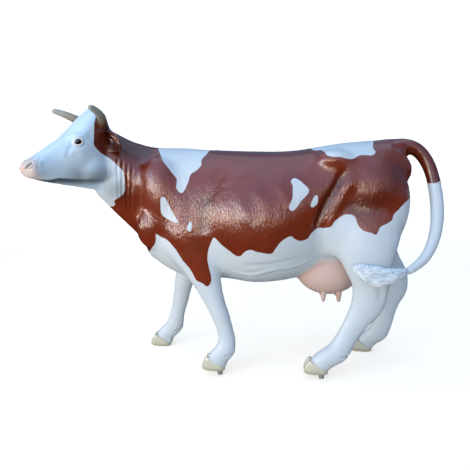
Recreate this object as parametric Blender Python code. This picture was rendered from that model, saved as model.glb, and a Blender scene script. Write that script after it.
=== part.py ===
"""A life-size cow statue: a painted glass-fibre cow walking to -X, on the floor at z = 0.

The flesh is built up as clay is: lofts give the trunk, neck, head, legs and tail, ellipsoids give the
muscles and the bones that show, and one voxel skin joins them. The skin is smoothed, worked with
creases and swellings, thinned, and parted by thin cuts into the pieces that a person would name.
Horns, eyes, ears, claws, udder, teats, the tail's switch and the mounting pegs are solids of their own.

Metres, +Z up. The cow faces -X, and its left side is towards -Y.
"""

import math

import bmesh
import bpy
import numpy as np
from mathutils import Matrix, Vector

# Driving dimensions
WITHERS_HEIGHT = 1.397
RUMP_HEIGHT = 1.436
BELLY_HEIGHT = 0.547
FOOT_SPREAD = 0.214  # from the median plane to the middle of a left hoof
PEG_HEIGHT = 0.038  # the left feet stand this high on their mounting pegs
PEG_RADIUS_TOP = 0.018
PEG_RADIUS_FOOT = 0.015
HEAD_YAW = math.radians(50)  # the head turns this far towards the cow's left
HEAD_TILT = 0.035  # the head's left side drops by this share of the way out
HEAD_PLACE = Vector((-0.84, -0.12, 0.0))  # where the head's own length starts, on the floor plan
EYE_RADIUS = 0.023
GAP = 0.0004  # between neighbouring solids

# How the skin is made
VOXEL = 0.012
SMOOTH_ROUNDS = 7
BROAD_ROUNDS = 60
FLESH_TRIANGLES = 3500
RING_POINTS = 28

# The head's own directions
AHEAD = Vector((-math.cos(HEAD_YAW), -math.sin(HEAD_YAW), 0.0))
HEAD_LEFT = Vector((math.sin(HEAD_YAW), -math.cos(HEAD_YAW), -HEAD_TILT)).normalized()
UP = Vector((0.0, 0.0, 1.0))


# ---------------------------------------------------------------- shapes from stations


def through(rows, count):
    """A smooth curve through the rows of a table (centripetal in the row number), as count rows."""
    rows = np.asarray(rows, float)
    padded = np.vstack([2 * rows[0] - rows[1], rows, 2 * rows[-1] - rows[-2]])
    places = np.linspace(0, len(rows) - 1, count)
    out = []
    for place in places:
        i = min(int(place), len(rows) - 2)
        t = place - i
        before, start, end, after = padded[i : i + 4]
        out.append(
            0.5
            * (
                2 * start
                + (end - before) * t
                + (2 * before - 5 * start + 4 * end - after) * t**2
                + (3 * start - before - 3 * end + after) * t**3
            )
        )
    return np.array(out)


def power(value, exponent):
    return math.copysign(abs(value) ** exponent, value)


def ring(top, bottom, side, half_width, widest=0.5, square_top=2.0, square_bottom=2.0, steps=RING_POINTS):
    """A closed superellipse outline from top to bottom, widest at that share of its height."""
    middle = bottom.lerp(top, widest)
    points = []
    for step in range(steps):
        angle = 2 * math.pi * step / steps
        square = square_top if math.sin(angle) >= 0 else square_bottom
        across = power(math.cos(angle), 2 / square) * half_width
        rise = power(math.sin(angle), 2 / square)
        reach = (top - middle) * rise if rise >= 0 else (bottom - middle) * -rise
        points.append(middle + side * across + reach)
    return points


class Clay:
    """Closed shapes that overlap, gathered in one mesh until the skin joins them."""

    def __init__(self):
        self.mesh = bmesh.new()

    def loft(self, rings):
        loops = [[self.mesh.verts.new(point) for point in points] for points in rings]
        for first, second in zip(loops, loops[1:]):
            for i in range(len(first)):
                j = (i + 1) % len(first)
                self.mesh.faces.new((first[i], first[j], second[j], second[i]))
        self.mesh.faces.new(loops[0][::-1])
        self.mesh.faces.new(loops[-1])

    def ball(self, centre, radii, turn=(0.0, 0.0, 0.0)):
        """An ellipsoid; turn gives its angles about X, Y and Z in degrees."""
        turned = Matrix.Rotation(math.radians(turn[2]), 4, "Z")
        turned @= Matrix.Rotation(math.radians(turn[1]), 4, "Y")
        turned @= Matrix.Rotation(math.radians(turn[0]), 4, "X")
        place = Matrix.Translation(Vector(centre)) @ turned @ Matrix.Diagonal((*radii, 1.0))
        bmesh.ops.create_uvsphere(self.mesh, u_segments=24, v_segments=16, radius=1.0, matrix=place)

    def balls(self, centre, radii, turn=(0.0, 0.0, 0.0)):
        """The same ellipsoid on both sides of the median plane; centre and turn are the left one's."""
        self.ball(centre, radii, turn)
        self.ball((centre[0], -centre[1], centre[2]), radii, (-turn[0], turn[1], -turn[2]))

    def limb(self, rows, count=40, steps=RING_POINTS):
        """A tube through rows of (x, y, z, half its depth fore and aft, half its width across)."""
        stations = through(rows, count)
        rings = []
        for i, (x, y, z, depth, width) in enumerate(stations):
            ahead = stations[min(i + 1, count - 1)][:3] - stations[max(i - 1, 0)][:3]
            along = Vector(ahead).normalized()
            side = Vector((0, 1, 0))
            front = side.cross(along).normalized()
            side = along.cross(front).normalized()
            centre = Vector((x, y, z))
            rings.append(ring(centre + front * depth, centre - front * depth, side, width, steps=steps))
        self.loft(rings)

    def object(self, name):
        bmesh.ops.recalc_face_normals(self.mesh, faces=self.mesh.faces)
        return object_of(self.mesh, name)


def object_of(mesh, name):
    """Turns a bmesh into an object; triangles keep a grown copy parallel to what it was grown from."""
    bmesh.ops.triangulate(mesh, faces=mesh.faces)
    data = bpy.data.meshes.new(name)
    mesh.to_mesh(data)
    mesh.free()
    made = bpy.data.objects.new(name, data)
    bpy.context.scene.collection.objects.link(made)
    return made


def frozen(thing):
    """Applies the object's modifiers to its mesh."""
    graph = bpy.context.evaluated_depsgraph_get()
    data = bpy.data.meshes.new_from_object(thing.evaluated_get(graph), depsgraph=graph)
    old = thing.data
    thing.modifiers.clear()
    thing.data = data
    bpy.data.meshes.remove(old)
    return thing


def remove(thing):
    bpy.data.objects.remove(thing, do_unlink=True)


# ---------------------------------------------------------------- the flesh

# x, top, bottom, half width, height of the widest place (0 to 1), squareness above and below
TRUNK = (
    (-0.62, 1.20, 0.84, 0.090, 0.40, 2.0, 2.0),
    (-0.57, 1.34, 0.755, 0.150, 0.40, 1.9, 2.0),
    (-0.50, 1.396, 0.672, 0.195, 0.42, 1.8, 2.0),
    (-0.42, WITHERS_HEIGHT, 0.618, 0.225, 0.42, 1.7, 2.0),
    (-0.30, WITHERS_HEIGHT - 0.002, 0.570, 0.250, 0.42, 1.7, 2.0),
    (-0.17, 1.383, 0.566, 0.275, 0.44, 1.8, 2.0),
    (-0.04, 1.377, 0.567, 0.318, 0.45, 1.9, 2.0),
    (0.12, 1.372, BELLY_HEIGHT, 0.352, 0.45, 2.0, 2.0),
    (0.27, 1.370, 0.558, 0.350, 0.46, 2.0, 2.0),
    (0.40, 1.379, 0.585, 0.315, 0.50, 2.1, 2.0),
    (0.53, 1.400, 0.640, 0.275, 0.60, 2.3, 2.0),
    (0.66, 1.419, 0.720, 0.255, 0.62, 2.4, 2.0),
    (0.80, 1.431, 0.790, 0.240, 0.58, 2.2, 2.0),
    (0.92, RUMP_HEIGHT, 0.860, 0.200, 0.55, 2.0, 2.0),
    (1.00, 1.425, 0.960, 0.140, 0.55, 2.0, 2.0),
    (1.03, 1.36, 1.06, 0.080, 0.50, 2.0, 2.0),
)

# the crest's x and z, the throat's x and z, y of the middle, half width
NECK = (
    (-0.42, 1.385, -0.36, 0.640, 0.00, 0.190),
    (-0.51, 1.400, -0.47, 0.690, 0.00, 0.180),
    (-0.59, 1.420, -0.565, 0.760, -0.01, 0.160),
    (-0.65, 1.440, -0.635, 0.850, -0.03, 0.142),
    (-0.705, 1.468, -0.705, 0.930, -0.055, 0.128),
    (-0.755, 1.494, -0.764, 1.000, -0.080, 0.113),
    (-0.80, 1.520, -0.820, 1.068, -0.105, 0.100),
    (-0.84, 1.550, -0.860, 1.120, -0.125, 0.090),
)

# along the head and up: brow line, then jaw line; half width, height of the widest place, squareness
HEAD = (
    (-0.070, 1.530, -0.100, 1.240, 0.060, 0.60, 2.2, 2.0),
    (-0.040, 1.602, -0.055, 1.160, 0.088, 0.60, 2.3, 1.8),
    (0.000, 1.630, 0.000, 1.128, 0.103, 0.62, 2.5, 1.6),
    (0.045, 1.610, 0.050, 1.136, 0.112, 0.62, 2.6, 1.6),
    (0.095, 1.567, 0.105, 1.145, 0.116, 0.62, 2.6, 1.6),
    (0.145, 1.515, 0.155, 1.154, 0.113, 0.62, 2.6, 1.6),
    (0.195, 1.464, 0.205, 1.164, 0.098, 0.60, 2.5, 1.7),
    (0.245, 1.428, 0.250, 1.173, 0.085, 0.58, 2.4, 1.8),
    (0.300, 1.393, 0.300, 1.183, 0.077, 0.55, 2.3, 2.0),
    (0.350, 1.359, 0.345, 1.193, 0.075, 0.50, 2.3, 2.2),
    (0.395, 1.328, 0.390, 1.203, 0.081, 0.50, 2.4, 2.3),
    (0.430, 1.302, 0.422, 1.213, 0.078, 0.50, 2.4, 2.3),
    (0.450, 1.278, 0.441, 1.232, 0.052, 0.50, 2.2, 2.2),
)

# x, y, z, half depth fore and aft, half width across; y is away from the median plane
LEFT_FORELEG = (
    (-0.33, 0.15, 0.98, 0.170, 0.080),
    (-0.27, 0.19, 0.82, 0.145, 0.085),
    (-0.20, 0.20, 0.70, 0.115, 0.075),
    (-0.155, 0.205, 0.60, 0.090, 0.062),
    (-0.122, 0.21, 0.51, 0.070, 0.053),
    (-0.094, 0.213, 0.44, 0.059, 0.049),
    (-0.070, 0.215, 0.38, 0.055, 0.047),
    (-0.049, 0.217, 0.32, 0.051, 0.037),
    (-0.034, 0.219, 0.26, 0.051, 0.036),
    (-0.030, 0.221, 0.21, 0.056, 0.041),
    (-0.040, 0.224, 0.165, 0.060, 0.046),
    (-0.066, 0.226, 0.134, 0.060, 0.045),
    (-0.092, 0.222, 0.096, 0.062, 0.048),
    (-0.098, 0.218, 0.066, 0.060, 0.046),
)
RIGHT_FORELEG = (
    (-0.30, 0.15, 0.98, 0.170, 0.080),
    (-0.29, 0.19, 0.82, 0.145, 0.085),
    (-0.31, 0.20, 0.69, 0.110, 0.075),
    (-0.345, 0.205, 0.58, 0.085, 0.062),
    (-0.374, 0.21, 0.49, 0.068, 0.053),
    (-0.392, 0.213, 0.41, 0.059, 0.049),
    (-0.404, 0.215, 0.35, 0.056, 0.046),
    (-0.418, 0.217, 0.29, 0.052, 0.037),
    (-0.434, 0.219, 0.23, 0.053, 0.037),
    (-0.444, 0.221, 0.185, 0.058, 0.042),
    (-0.462, 0.224, 0.140, 0.060, 0.046),
    (-0.500, 0.229, 0.100, 0.057, 0.045),
    (-0.530, 0.234, 0.060, 0.062, 0.048),
    (-0.538, 0.236, 0.030, 0.060, 0.046),
)
LEFT_HINDLEG = (
    (0.80, 0.13, 1.15, 0.190, 0.090),
    (0.79, 0.17, 0.98, 0.205, 0.105),
    (0.785, 0.205, 0.84, 0.190, 0.098),
    (0.795, 0.225, 0.73, 0.155, 0.082),
    (0.812, 0.225, 0.63, 0.118, 0.066),
    (0.815, 0.222, 0.55, 0.104, 0.056),
    (0.802, 0.220, 0.475, 0.098, 0.052),
    (0.766, 0.218, 0.405, 0.080, 0.047),
    (0.732, 0.218, 0.345, 0.069, 0.041),
    (0.700, 0.219, 0.285, 0.064, 0.039),
    (0.668, 0.221, 0.225, 0.066, 0.042),
    (0.638, 0.224, 0.175, 0.069, 0.047),
    (0.590, 0.226, 0.143, 0.064, 0.047),
    (0.545, 0.222, 0.106, 0.064, 0.050),
    (0.520, 0.218, 0.076, 0.060, 0.047),
)
RIGHT_HINDLEG = (
    (0.82, 0.13, 1.15, 0.190, 0.090),
    (0.83, 0.17, 0.98, 0.200, 0.105),
    (0.86, 0.205, 0.84, 0.180, 0.098),
    (0.92, 0.225, 0.72, 0.150, 0.082),
    (0.99, 0.225, 0.62, 0.118, 0.066),
    (1.045, 0.222, 0.54, 0.104, 0.056),
    (1.058, 0.220, 0.46, 0.092, 0.052),
    (1.036, 0.220, 0.385, 0.076, 0.046),
    (1.022, 0.222, 0.31, 0.064, 0.040),
    (1.010, 0.225, 0.245, 0.062, 0.039),
    (0.992, 0.230, 0.185, 0.066, 0.043),
    (0.970, 0.240, 0.135, 0.068, 0.047),
    (0.927, 0.250, 0.095, 0.060, 0.046),
    (0.895, 0.258, 0.055, 0.060, 0.048),
    (0.885, 0.262, 0.030, 0.056, 0.046),
)

# x, y, z, half thickness up and down, half thickness across
TAIL = (
    (0.90, 0.000, 1.385, 0.060, 0.060),
    (0.98, 0.000, 1.398, 0.048, 0.050),
    (1.05, -0.005, 1.395, 0.043, 0.044),
    (1.105, -0.012, 1.365, 0.041, 0.042),
    (1.150, -0.025, 1.305, 0.040, 0.040),
    (1.180, -0.045, 1.225, 0.039, 0.039),
    (1.197, -0.070, 1.13, 0.039, 0.039),
    (1.203, -0.100, 1.03, 0.039, 0.038),
    (1.192, -0.140, 0.93, 0.037, 0.036),
    (1.160, -0.185, 0.835, 0.034, 0.033),
    (1.105, -0.230, 0.755, 0.030, 0.030),
    (1.030, -0.272, 0.705, 0.026, 0.026),
    (0.970, -0.300, 0.685, 0.026, 0.026),
)


def on_head(ahead, across, height):
    """A point from its place along the head, out to the cow's left, and above the floor."""
    return HEAD_PLACE + AHEAD * ahead + HEAD_LEFT * across + UP * height


def mirrored(rows, side):
    """Limb rows with y on the given side: -1 for the cow's left, 1 for its right."""
    return [(x, side * y, z, depth, width) for x, y, z, depth, width in rows]


def trunk(clay):
    side = Vector((0, -1, 0))
    rings = []
    for x, top, bottom, width, widest, above, below in through(TRUNK, 60):
        high, low = Vector((x, 0, top)), Vector((x, 0, bottom))
        rings.append(ring(high, low, side, width, widest, above, below))
    clay.loft(rings)


def neck(clay):
    rings = []
    rows = through(NECK, 26)
    for i, (crest_x, crest_z, throat_x, throat_z, y, width) in enumerate(rows):
        yaw = HEAD_YAW * (i / (len(rows) - 1)) ** 1.2
        side = Vector((math.sin(yaw), -math.cos(yaw), 0))
        crest, throat = Vector((crest_x, y, crest_z)), Vector((throat_x, y, throat_z))
        rings.append(ring(crest, throat, side, width, 0.52, 1.8, 1.8))
    clay.loft(rings)


def head(clay):
    rings = []
    for brow_s, brow_z, jaw_s, jaw_z, width, widest, above, below in through(HEAD, 44):
        brow, jaw = on_head(brow_s, 0, brow_z), on_head(jaw_s, 0, jaw_z)
        rings.append(ring(brow, jaw, HEAD_LEFT, width, widest, above, below))
    clay.loft(rings)
    level = math.degrees(HEAD_YAW)
    for side in (1, -1):
        # the cheek, the rim over the eye, the nostril's wing and the root of the horn
        clay.ball(on_head(0.055, 0.062 * side, 1.275), (0.085, 0.050, 0.105), (0, 20, level))
        clay.ball(on_head(0.155, 0.076 * side, 1.436), (0.042, 0.028, 0.026), (0, 38, level))
        clay.ball(on_head(0.405, 0.052 * side, 1.272), (0.034, 0.028, 0.034), (0, 38, level))
        clay.ball(on_head(0.004, 0.075 * side, 1.522), (0.038, 0.045, 0.038), (0, 0, level))


def muscles(clay):
    # shoulder blade, the muscle behind the upper arm, the point of the shoulder, the breast
    clay.balls((-0.415, -0.150, 1.08), (0.135, 0.085, 0.27), (0, -14, 0))
    clay.balls((-0.265, -0.205, 0.86), (0.130, 0.075, 0.165), (0, 20, 0))
    clay.balls((-0.505, -0.145, 0.90), (0.095, 0.085, 0.13), (0, 0, 0))
    clay.ball((-0.475, 0.0, 0.79), (0.085, 0.130, 0.120), (0, 30, 0))
    clay.balls((-0.38, -0.060, 1.31), (0.15, 0.065, 0.06), (0, 0, 0))
    # hook bone, pin bone, the thigh's two muscles, stifle
    clay.balls((0.585, -0.200, 1.315), (0.110, 0.060, 0.060), (0, 0, 0))
    clay.balls((0.975, -0.095, 1.255), (0.072, 0.055, 0.090), (0, 0, 0))
    clay.balls((0.800, -0.165, 1.130), (0.190, 0.105, 0.200), (0, 0, 0))
    clay.balls((0.900, -0.140, 1.020), (0.130, 0.110, 0.250), (0, 8, 0))
    clay.balls((0.640, -0.180, 0.930), (0.120, 0.095, 0.190), (0, 18, 0))


def broad_share(place):
    """How far the broad smoothing works here: fully on the trunk, not on the head, feet and tail."""
    behind_head = (place.x + 0.74) / 0.16
    above_legs = (place.z - 0.58) / 0.12
    before_tail = (1.02 - place.x) / 0.06
    return max(0.0, min(1.0, behind_head, above_legs, before_tail))


def flesh():
    clay = Clay()
    trunk(clay)
    neck(clay)
    head(clay)
    muscles(clay)
    for rows, side in (
        (LEFT_FORELEG, -1),
        (RIGHT_FORELEG, 1),
        (LEFT_HINDLEG, -1),
        (RIGHT_HINDLEG, 1),
    ):
        clay.limb(mirrored(rows, side))
    clay.limb(TAIL)
    made = clay.object("flesh")
    skin = made.modifiers.new("skin", "REMESH")
    skin.mode = "VOXEL"
    skin.voxel_size = VOXEL
    frozen(made)
    broad = made.vertex_groups.new(name="broad")
    for point in made.data.vertices:
        broad.add([point.index], broad_share(point.co), "REPLACE")
    for rounds, group in ((BROAD_ROUNDS, "broad"), (SMOOTH_ROUNDS, "")):
        smooth = made.modifiers.new("smooth", "SMOOTH")
        smooth.factor = 0.5
        smooth.iterations = rounds
        smooth.vertex_group = group
    return frozen(made)


# ---------------------------------------------------------------- creases

# x, y away from the median plane, z along each groove that is pressed into both sides
FLANK_FOLD = (
    (0.640, 0.245, 1.255),
    (0.600, 0.260, 1.180),
    (0.544, 0.272, 1.079),
    (0.500, 0.274, 0.960),
)
ELBOW_HOLLOW = (
    (-0.165, 0.225, 1.160),
    (-0.146, 0.272, 1.010),
    (-0.140, 0.285, 0.880),
)


def crease(thing, path, width, depth):
    """Presses a soft groove along the path into both sides of the body."""
    count = len(thing.data.vertices)
    points = np.empty(count * 3)
    normals = np.empty(count * 3)
    thing.data.vertices.foreach_get("co", points)
    thing.data.vertices.foreach_get("normal", normals)
    points, normals = points.reshape(-1, 3), normals.reshape(-1, 3)
    for side in (-1, 1):
        line = np.array(path) * (1, side, 1)
        nearest = np.full(count, np.inf)
        for start, end in zip(line, line[1:]):
            run = end - start
            share = np.clip((points - start) @ run / (run @ run), 0, 1)
            off = points - start - share[:, None] * run
            nearest = np.minimum(nearest, np.linalg.norm(off, axis=1))
        points = points - normals * (depth * np.exp(-((nearest / width) ** 2)))[:, None]
    thing.data.vertices.foreach_set("co", points.ravel())
    thing.data.update()


# ---------------------------------------------------------------- pieces of their own

# ahead, across, height and radius along the left horn, from inside its root to its blunt tip
HORN = (
    ((0.000, 0.072, 1.520), 0.027),
    ((0.020, 0.120, 1.537), 0.0265),
    ((0.050, 0.164, 1.563), 0.0245),
    ((0.095, 0.200, 1.587), 0.0210),
    ((0.133, 0.222, 1.601), 0.0175),
    ((0.154, 0.231, 1.606), 0.0145),
    ((0.159, 0.233, 1.607), 0.0070),
)

# share of the length, half width, depth of the cup
EAR = (
    (0.00, 0.020, 0.010),
    (0.14, 0.035, 0.020),
    (0.32, 0.054, 0.029),
    (0.55, 0.063, 0.032),
    (0.76, 0.054, 0.026),
    (0.92, 0.032, 0.014),
    (1.00, 0.010, 0.004),
)
EAR_LENGTH = 0.175
EAR_WALL = 0.011
EAR_ROOT = (-0.006, 0.084, 1.478)  # ahead, across, height
EAR_REACH = (-0.01, 0.74, -0.64)
EAR_MOUTH = (0.80, 0.15, -0.10)  # the way the cup opens
EYE = (0.166, 0.099, 1.418)

# The hoof of two claws, in the foot's own x and height
CLEFT = 0.006
CORONET_FRONT = (-0.056, 0.086)  # where hair meets horn
CORONET_BACK = (0.058, 0.046)
# low front, low back, rise at the front and at the back, half width
CLAW = (
    (-0.080, 0.058, 0.0, 0.0, 0.0215),
    (-0.091, 0.065, 0.014, 0.012, 0.0255),
    (-0.084, 0.066, 0.046, 0.030, 0.0262),
    (CORONET_FRONT[0], CORONET_BACK[0], CORONET_FRONT[1], CORONET_BACK[1], 0.0245),
)

# the middle of each hoof's sole
FEET = {
    "fore_left": Vector((-0.092, -FOOT_SPREAD, PEG_HEIGHT)),
    "fore_right": Vector((-0.535, 0.236, 0.0)),
    "hind_left": Vector((0.530, -FOOT_SPREAD, PEG_HEIGHT)),
    "hind_right": Vector((0.882, 0.262, 0.0)),
}
PEG_BEHIND = 0.018  # from the middle of the sole

UDDER = ((0.590, 0.0, 0.640), (0.205, 0.165, 0.165))
TEAT_ROOTS = {"fore": (0.560, 0.075), "hind": (0.655, 0.070)}  # x, y away from the median plane
TEAT = ((0.520, 0.021), (0.485, 0.0165), (0.452, 0.0115), (0.440, 0.007))  # height, radius

# x, y, z, half height, half thickness of the tuft of hair at the tail's end
SWITCH = (
    (1.000, -0.288, 0.696, 0.020, 0.022),
    (0.940, -0.312, 0.682, 0.036, 0.028),
    (0.885, -0.326, 0.672, 0.052, 0.030),
    (0.825, -0.332, 0.672, 0.062, 0.030),
    (0.765, -0.333, 0.688, 0.056, 0.027),
    (0.715, -0.330, 0.715, 0.036, 0.020),
    (0.695, -0.327, 0.735, 0.012, 0.010),
)


def hand(side):
    return "left" if side > 0 else "right"


def loft_object(name, rings):
    clay = Clay()
    clay.loft(rings)
    return clay.object(name)


def circle(centre, across, along, radius, steps):
    turns = [2 * math.pi * step / steps for step in range(steps)]
    return [centre + (across * math.cos(a) + along * math.sin(a)) * radius for a in turns]


def round_loft(name, rows, steps, count):
    """A tube of changing radius through rows of (point, radius)."""
    stations = through([(*point, radius) for point, radius in rows], count)
    rings = []
    side = None
    for i in range(count):
        ahead = stations[min(i + 1, count - 1)][:3] - stations[max(i - 1, 0)][:3]
        along = Vector(ahead).normalized()
        side = along.cross(side).cross(along).normalized() if side else along.orthogonal().normalized()
        rings.append(circle(Vector(stations[i][:3]), side, side.cross(along), stations[i][3], steps))
    return loft_object(name, rings)


def ellipsoid(name, centre, radii, segments, rings):
    mesh = bmesh.new()
    place = Matrix.Translation(Vector(centre)) @ Matrix.Diagonal((*radii, 1.0))
    bmesh.ops.create_uvsphere(mesh, u_segments=segments, v_segments=rings, radius=1.0, matrix=place)
    return object_of(mesh, name)


def horn(side):
    rows = []
    for (ahead, across, height), radius in HORN:
        rows.append((tuple(on_head(ahead, across * side, height)), radius))
    return round_loft(f"horn_{hand(side)}", rows, 9, 9)


def ear(side):
    reach = AHEAD * EAR_REACH[0] + HEAD_LEFT * EAR_REACH[1] * side + UP * EAR_REACH[2]
    reach.normalize()
    mouth = AHEAD * EAR_MOUTH[0] + HEAD_LEFT * EAR_MOUTH[1] * side + UP * EAR_MOUTH[2]
    mouth = (mouth - reach * mouth.dot(reach)).normalized()
    across = reach.cross(mouth).normalized()
    root = on_head(EAR_ROOT[0], EAR_ROOT[1] * side, EAR_ROOT[2])
    steps = 7
    rings = []
    for share, half, cup in through(EAR, 8):
        outer, inner = [], []
        for step in range(steps):
            u = 2 * step / (steps - 1) - 1
            wall = EAR_WALL * (1 - 0.75 * abs(u) ** 3)
            middle = root + reach * EAR_LENGTH * share + across * half * u
            middle += mouth * cup * (abs(u) ** 1.7 - 1)
            outer.append(middle - mouth * wall * 0.5)
            inner.append(middle + mouth * wall * 0.5)
        rings.append(outer + inner[::-1])
    return loft_object(f"ear_{hand(side)}", rings)


def claw(name, foot, side):
    """One half of a cloven hoof, at the side of the cleft given as -1 or 1."""
    rings = []
    for low_front, low_back, front_rise, back_rise, half in CLAW:
        points = []
        for step in range(10):
            angle = 2 * math.pi * step / 10
            lengthwise = power(math.cos(angle), 0.8)
            x = (low_front + low_back) / 2 + (low_back - low_front) / 2 * lengthwise
            y = half * power(math.sin(angle), 0.8) * (1 + 0.16 * lengthwise)
            z = (front_rise + back_rise) / 2 + (back_rise - front_rise) / 2 * lengthwise
            middle = half + CLEFT / 2 - 0.001 * (1 - lengthwise)
            points.append(foot + Vector((x, y + side * middle, z)))
        rings.append(points)
    return loft_object(name, rings)


def peg(name, foot):
    rings = []
    for height, radius in ((0.0, PEG_RADIUS_FOOT), (PEG_HEIGHT - GAP, PEG_RADIUS_TOP)):
        centre = Vector((foot.x + PEG_BEHIND, foot.y, height))
        rings.append(circle(centre, Vector((1, 0, 0)), Vector((0, 1, 0)), radius, 16))
    return loft_object(name, rings)


def switch():
    clay = Clay()
    clay.limb(SWITCH, 11, 12)
    return clay.object("tail_switch")


def teat(place, x, y):
    rows = [((x, y, height), radius) for height, radius in TEAT]
    return round_loft(f"teat_{place}_{hand(-y)}", rows, 8, 5)


# ---------------------------------------------------------------- cuts

FAR = 4.0  # past the whole cow, for cutters that end in free space

# each leg's cutter: x from and to, then y and z of its top edge at its inner and at its outer side
LEG_ROOM = {
    "fore_left": (-0.50, 0.035, 0.105, 0.600, 0.42, 0.800),
    "fore_right": (-0.70, -0.100, 0.105, 0.600, 0.42, 0.800),
    "hind_left": (0.40, 1.045, 0.070, 0.800, 0.42, 1.010),
    "hind_right": (0.50, 1.400, 0.070, 0.800, 0.42, 1.010),
}
KNEE_HEIGHT = {"fore_left": 0.40, "fore_right": 0.39, "hind_left": 0.50, "hind_right": 0.49}
# the hanging tail, as (x, z) corners, and how far it may reach across
TAIL_ROOM = ((1.050, 1.60), (1.050, 0.80), (0.985, 0.76), (0.985, 0.60), (FAR, 0.60), (FAR, 1.60))
TAIL_ACROSS = (-0.50, 0.12)
TAIL_LENGTHS = (("tail_lower", 0.850), ("tail_middle", 1.200))  # each ends at this height
HEAD_CUT = on_head(-0.045, 0, 1.35)
NECK_CUT = Vector((-0.600, 0.0, 1.10))
NECK_CUT_FACES = Vector((-0.86, -0.12, 0.50)).normalized()
TRUNK_LENGTHS = (("chest", -0.120), ("barrel", 0.480))  # each ends at this x


def as_cutter(mesh):
    cutter = object_of(mesh, "cutter")
    cutter.hide_render = True
    cutter.display_type = "WIRE"
    return cutter


def prism(axis, start, end, outline):
    """A cutter of that outline from start to end along X or Y; its corners are (y, z) or (x, z)."""
    mesh = bmesh.new()
    ends = []
    for place in (start, end):
        corners = [(place, a, b) if axis == "X" else (a, place, b) for a, b in outline]
        ends.append([mesh.verts.new(corner) for corner in corners])
    mesh.faces.new(ends[0])
    mesh.faces.new(ends[1][::-1])
    for i in range(len(outline)):
        j = (i + 1) % len(outline)
        mesh.faces.new((ends[0][i], ends[0][j], ends[1][j], ends[1][i]))
    bmesh.ops.recalc_face_normals(mesh, faces=mesh.faces)
    return as_cutter(mesh)


def half_space(point, faces, gap=0.0, size=FAR):
    """A cutter that fills the space behind a plane; gap moves the plane forward."""
    mesh = bmesh.new()
    turn = faces.to_track_quat("Z", "Y").to_matrix().to_4x4()
    place = Matrix.Translation(point + faces * (gap - size / 2)) @ turn
    bmesh.ops.create_cube(mesh, size=size, matrix=place)
    return as_cutter(mesh)


def grown(thing):
    """A cutter just larger than a piece, so that what it cuts stays clear of the piece."""
    mesh = bmesh.new()
    mesh.from_mesh(thing.data)
    mesh.normal_update()
    moved = [(point, point.co + point.normal * GAP * 1.5) for point in mesh.verts]
    for point, place in moved:
        point.co = place
    return as_cutter(mesh)


def combined(thing, cutter, operation, name):
    """A new object: the largest body of what the operation leaves of the thing."""
    made = bpy.data.objects.new(name, thing.data.copy())
    bpy.context.scene.collection.objects.link(made)
    cut = made.modifiers.new("cut", "BOOLEAN")
    cut.solver = "EXACT"
    cut.operation = operation
    cut.object = cutter
    frozen(made)
    keep_largest(made)
    return made


def keep_largest(thing):
    mesh = bmesh.new()
    mesh.from_mesh(thing.data)
    unseen = set(mesh.verts)
    bodies = []
    while unseen:
        body, front = set(), [unseen.pop()]
        while front:
            point = front.pop()
            body.add(point)
            for edge in point.link_edges:
                other = edge.other_vert(point)
                if other in unseen:
                    unseen.discard(other)
                    front.append(other)
        bodies.append(body)
    bodies.sort(key=len, reverse=True)
    loose = [point for body in bodies[1:] for point in body]
    bmesh.ops.delete(mesh, geom=loose, context="VERTS")
    bmesh.ops.dissolve_degenerate(mesh, dist=0.00005, edges=mesh.edges)
    mesh.to_mesh(thing.data)
    mesh.free()


def without(thing, cutter):
    """The thing less the cutter's space, under its own name."""
    name = thing.name
    left = combined(thing, cutter, "DIFFERENCE", "left")
    remove(thing)
    remove(cutter)
    left.name = name
    return left


def taken(thing, cutter, wider_cutter, name):
    """Takes the cutter's space out of the thing: the piece of that name, and what is left."""
    piece = combined(thing, cutter, "INTERSECT", name)
    remove(cutter)
    return piece, without(thing, wider_cutter)


def leg_space(name, gap):
    x_from, x_to, y_in, z_in, y_out, z_out = LEG_ROOM[name]
    side = -1 if name.endswith("left") else 1
    outline = (
        ((y_in - gap) * side, -0.5),
        ((y_out + gap) * side, -0.5),
        ((y_out + gap) * side, z_out + gap),
        ((y_in - gap) * side, z_in + gap),
    )
    return prism("X", x_from - gap, x_to + gap, outline)


def tail_space(gap):
    outline = []
    for x, z in TAIL_ROOM:
        outline.append((x - gap if x < FAR else x, z))
    return prism("Y", *TAIL_ACROSS, outline)


def hoof_space(foot):
    """The space of one hoof, under the sloping line where hair meets horn."""
    slope = (CORONET_BACK[1] - CORONET_FRONT[1]) / (CORONET_BACK[0] - CORONET_FRONT[0])
    faces = Vector((-slope, 0, 1)).normalized()
    point = foot + Vector((CORONET_FRONT[0], 0, CORONET_FRONT[1]))
    return half_space(point, faces, GAP, 0.4)


def part_flesh(body):
    for foot in FEET.values():
        body = without(body, hoof_space(foot))
    tail, body = taken(body, tail_space(0.0), tail_space(GAP), "tail_root")
    for name, height in TAIL_LENGTHS:
        place = Vector((0, 0, height))
        _, tail = taken(tail, half_space(place, UP), half_space(place, UP, GAP), name)
    for name in LEG_ROOM:
        leg, body = taken(body, leg_space(name, 0.0), leg_space(name, GAP), name + "_upper")
        knee = Vector((0, 0, KNEE_HEIGHT[name]))
        taken(leg, half_space(knee, UP), half_space(knee, UP, GAP), name + "_lower")
    behind = -AHEAD
    head_piece, body = taken(
        body, half_space(HEAD_CUT, behind), half_space(HEAD_CUT, behind, GAP), "head"
    )
    behind = -NECK_CUT_FACES
    neck_piece, body = taken(
        body, half_space(NECK_CUT, behind), half_space(NECK_CUT, behind, GAP), "neck"
    )
    back = Vector((1, 0, 0))
    for name, x in TRUNK_LENGTHS:
        place = Vector((x, 0, 1))
        _, body = taken(body, half_space(place, back), half_space(place, back, GAP), name)
    body.name = "hindquarters"


# ---------------------------------------------------------------- colours

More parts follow.
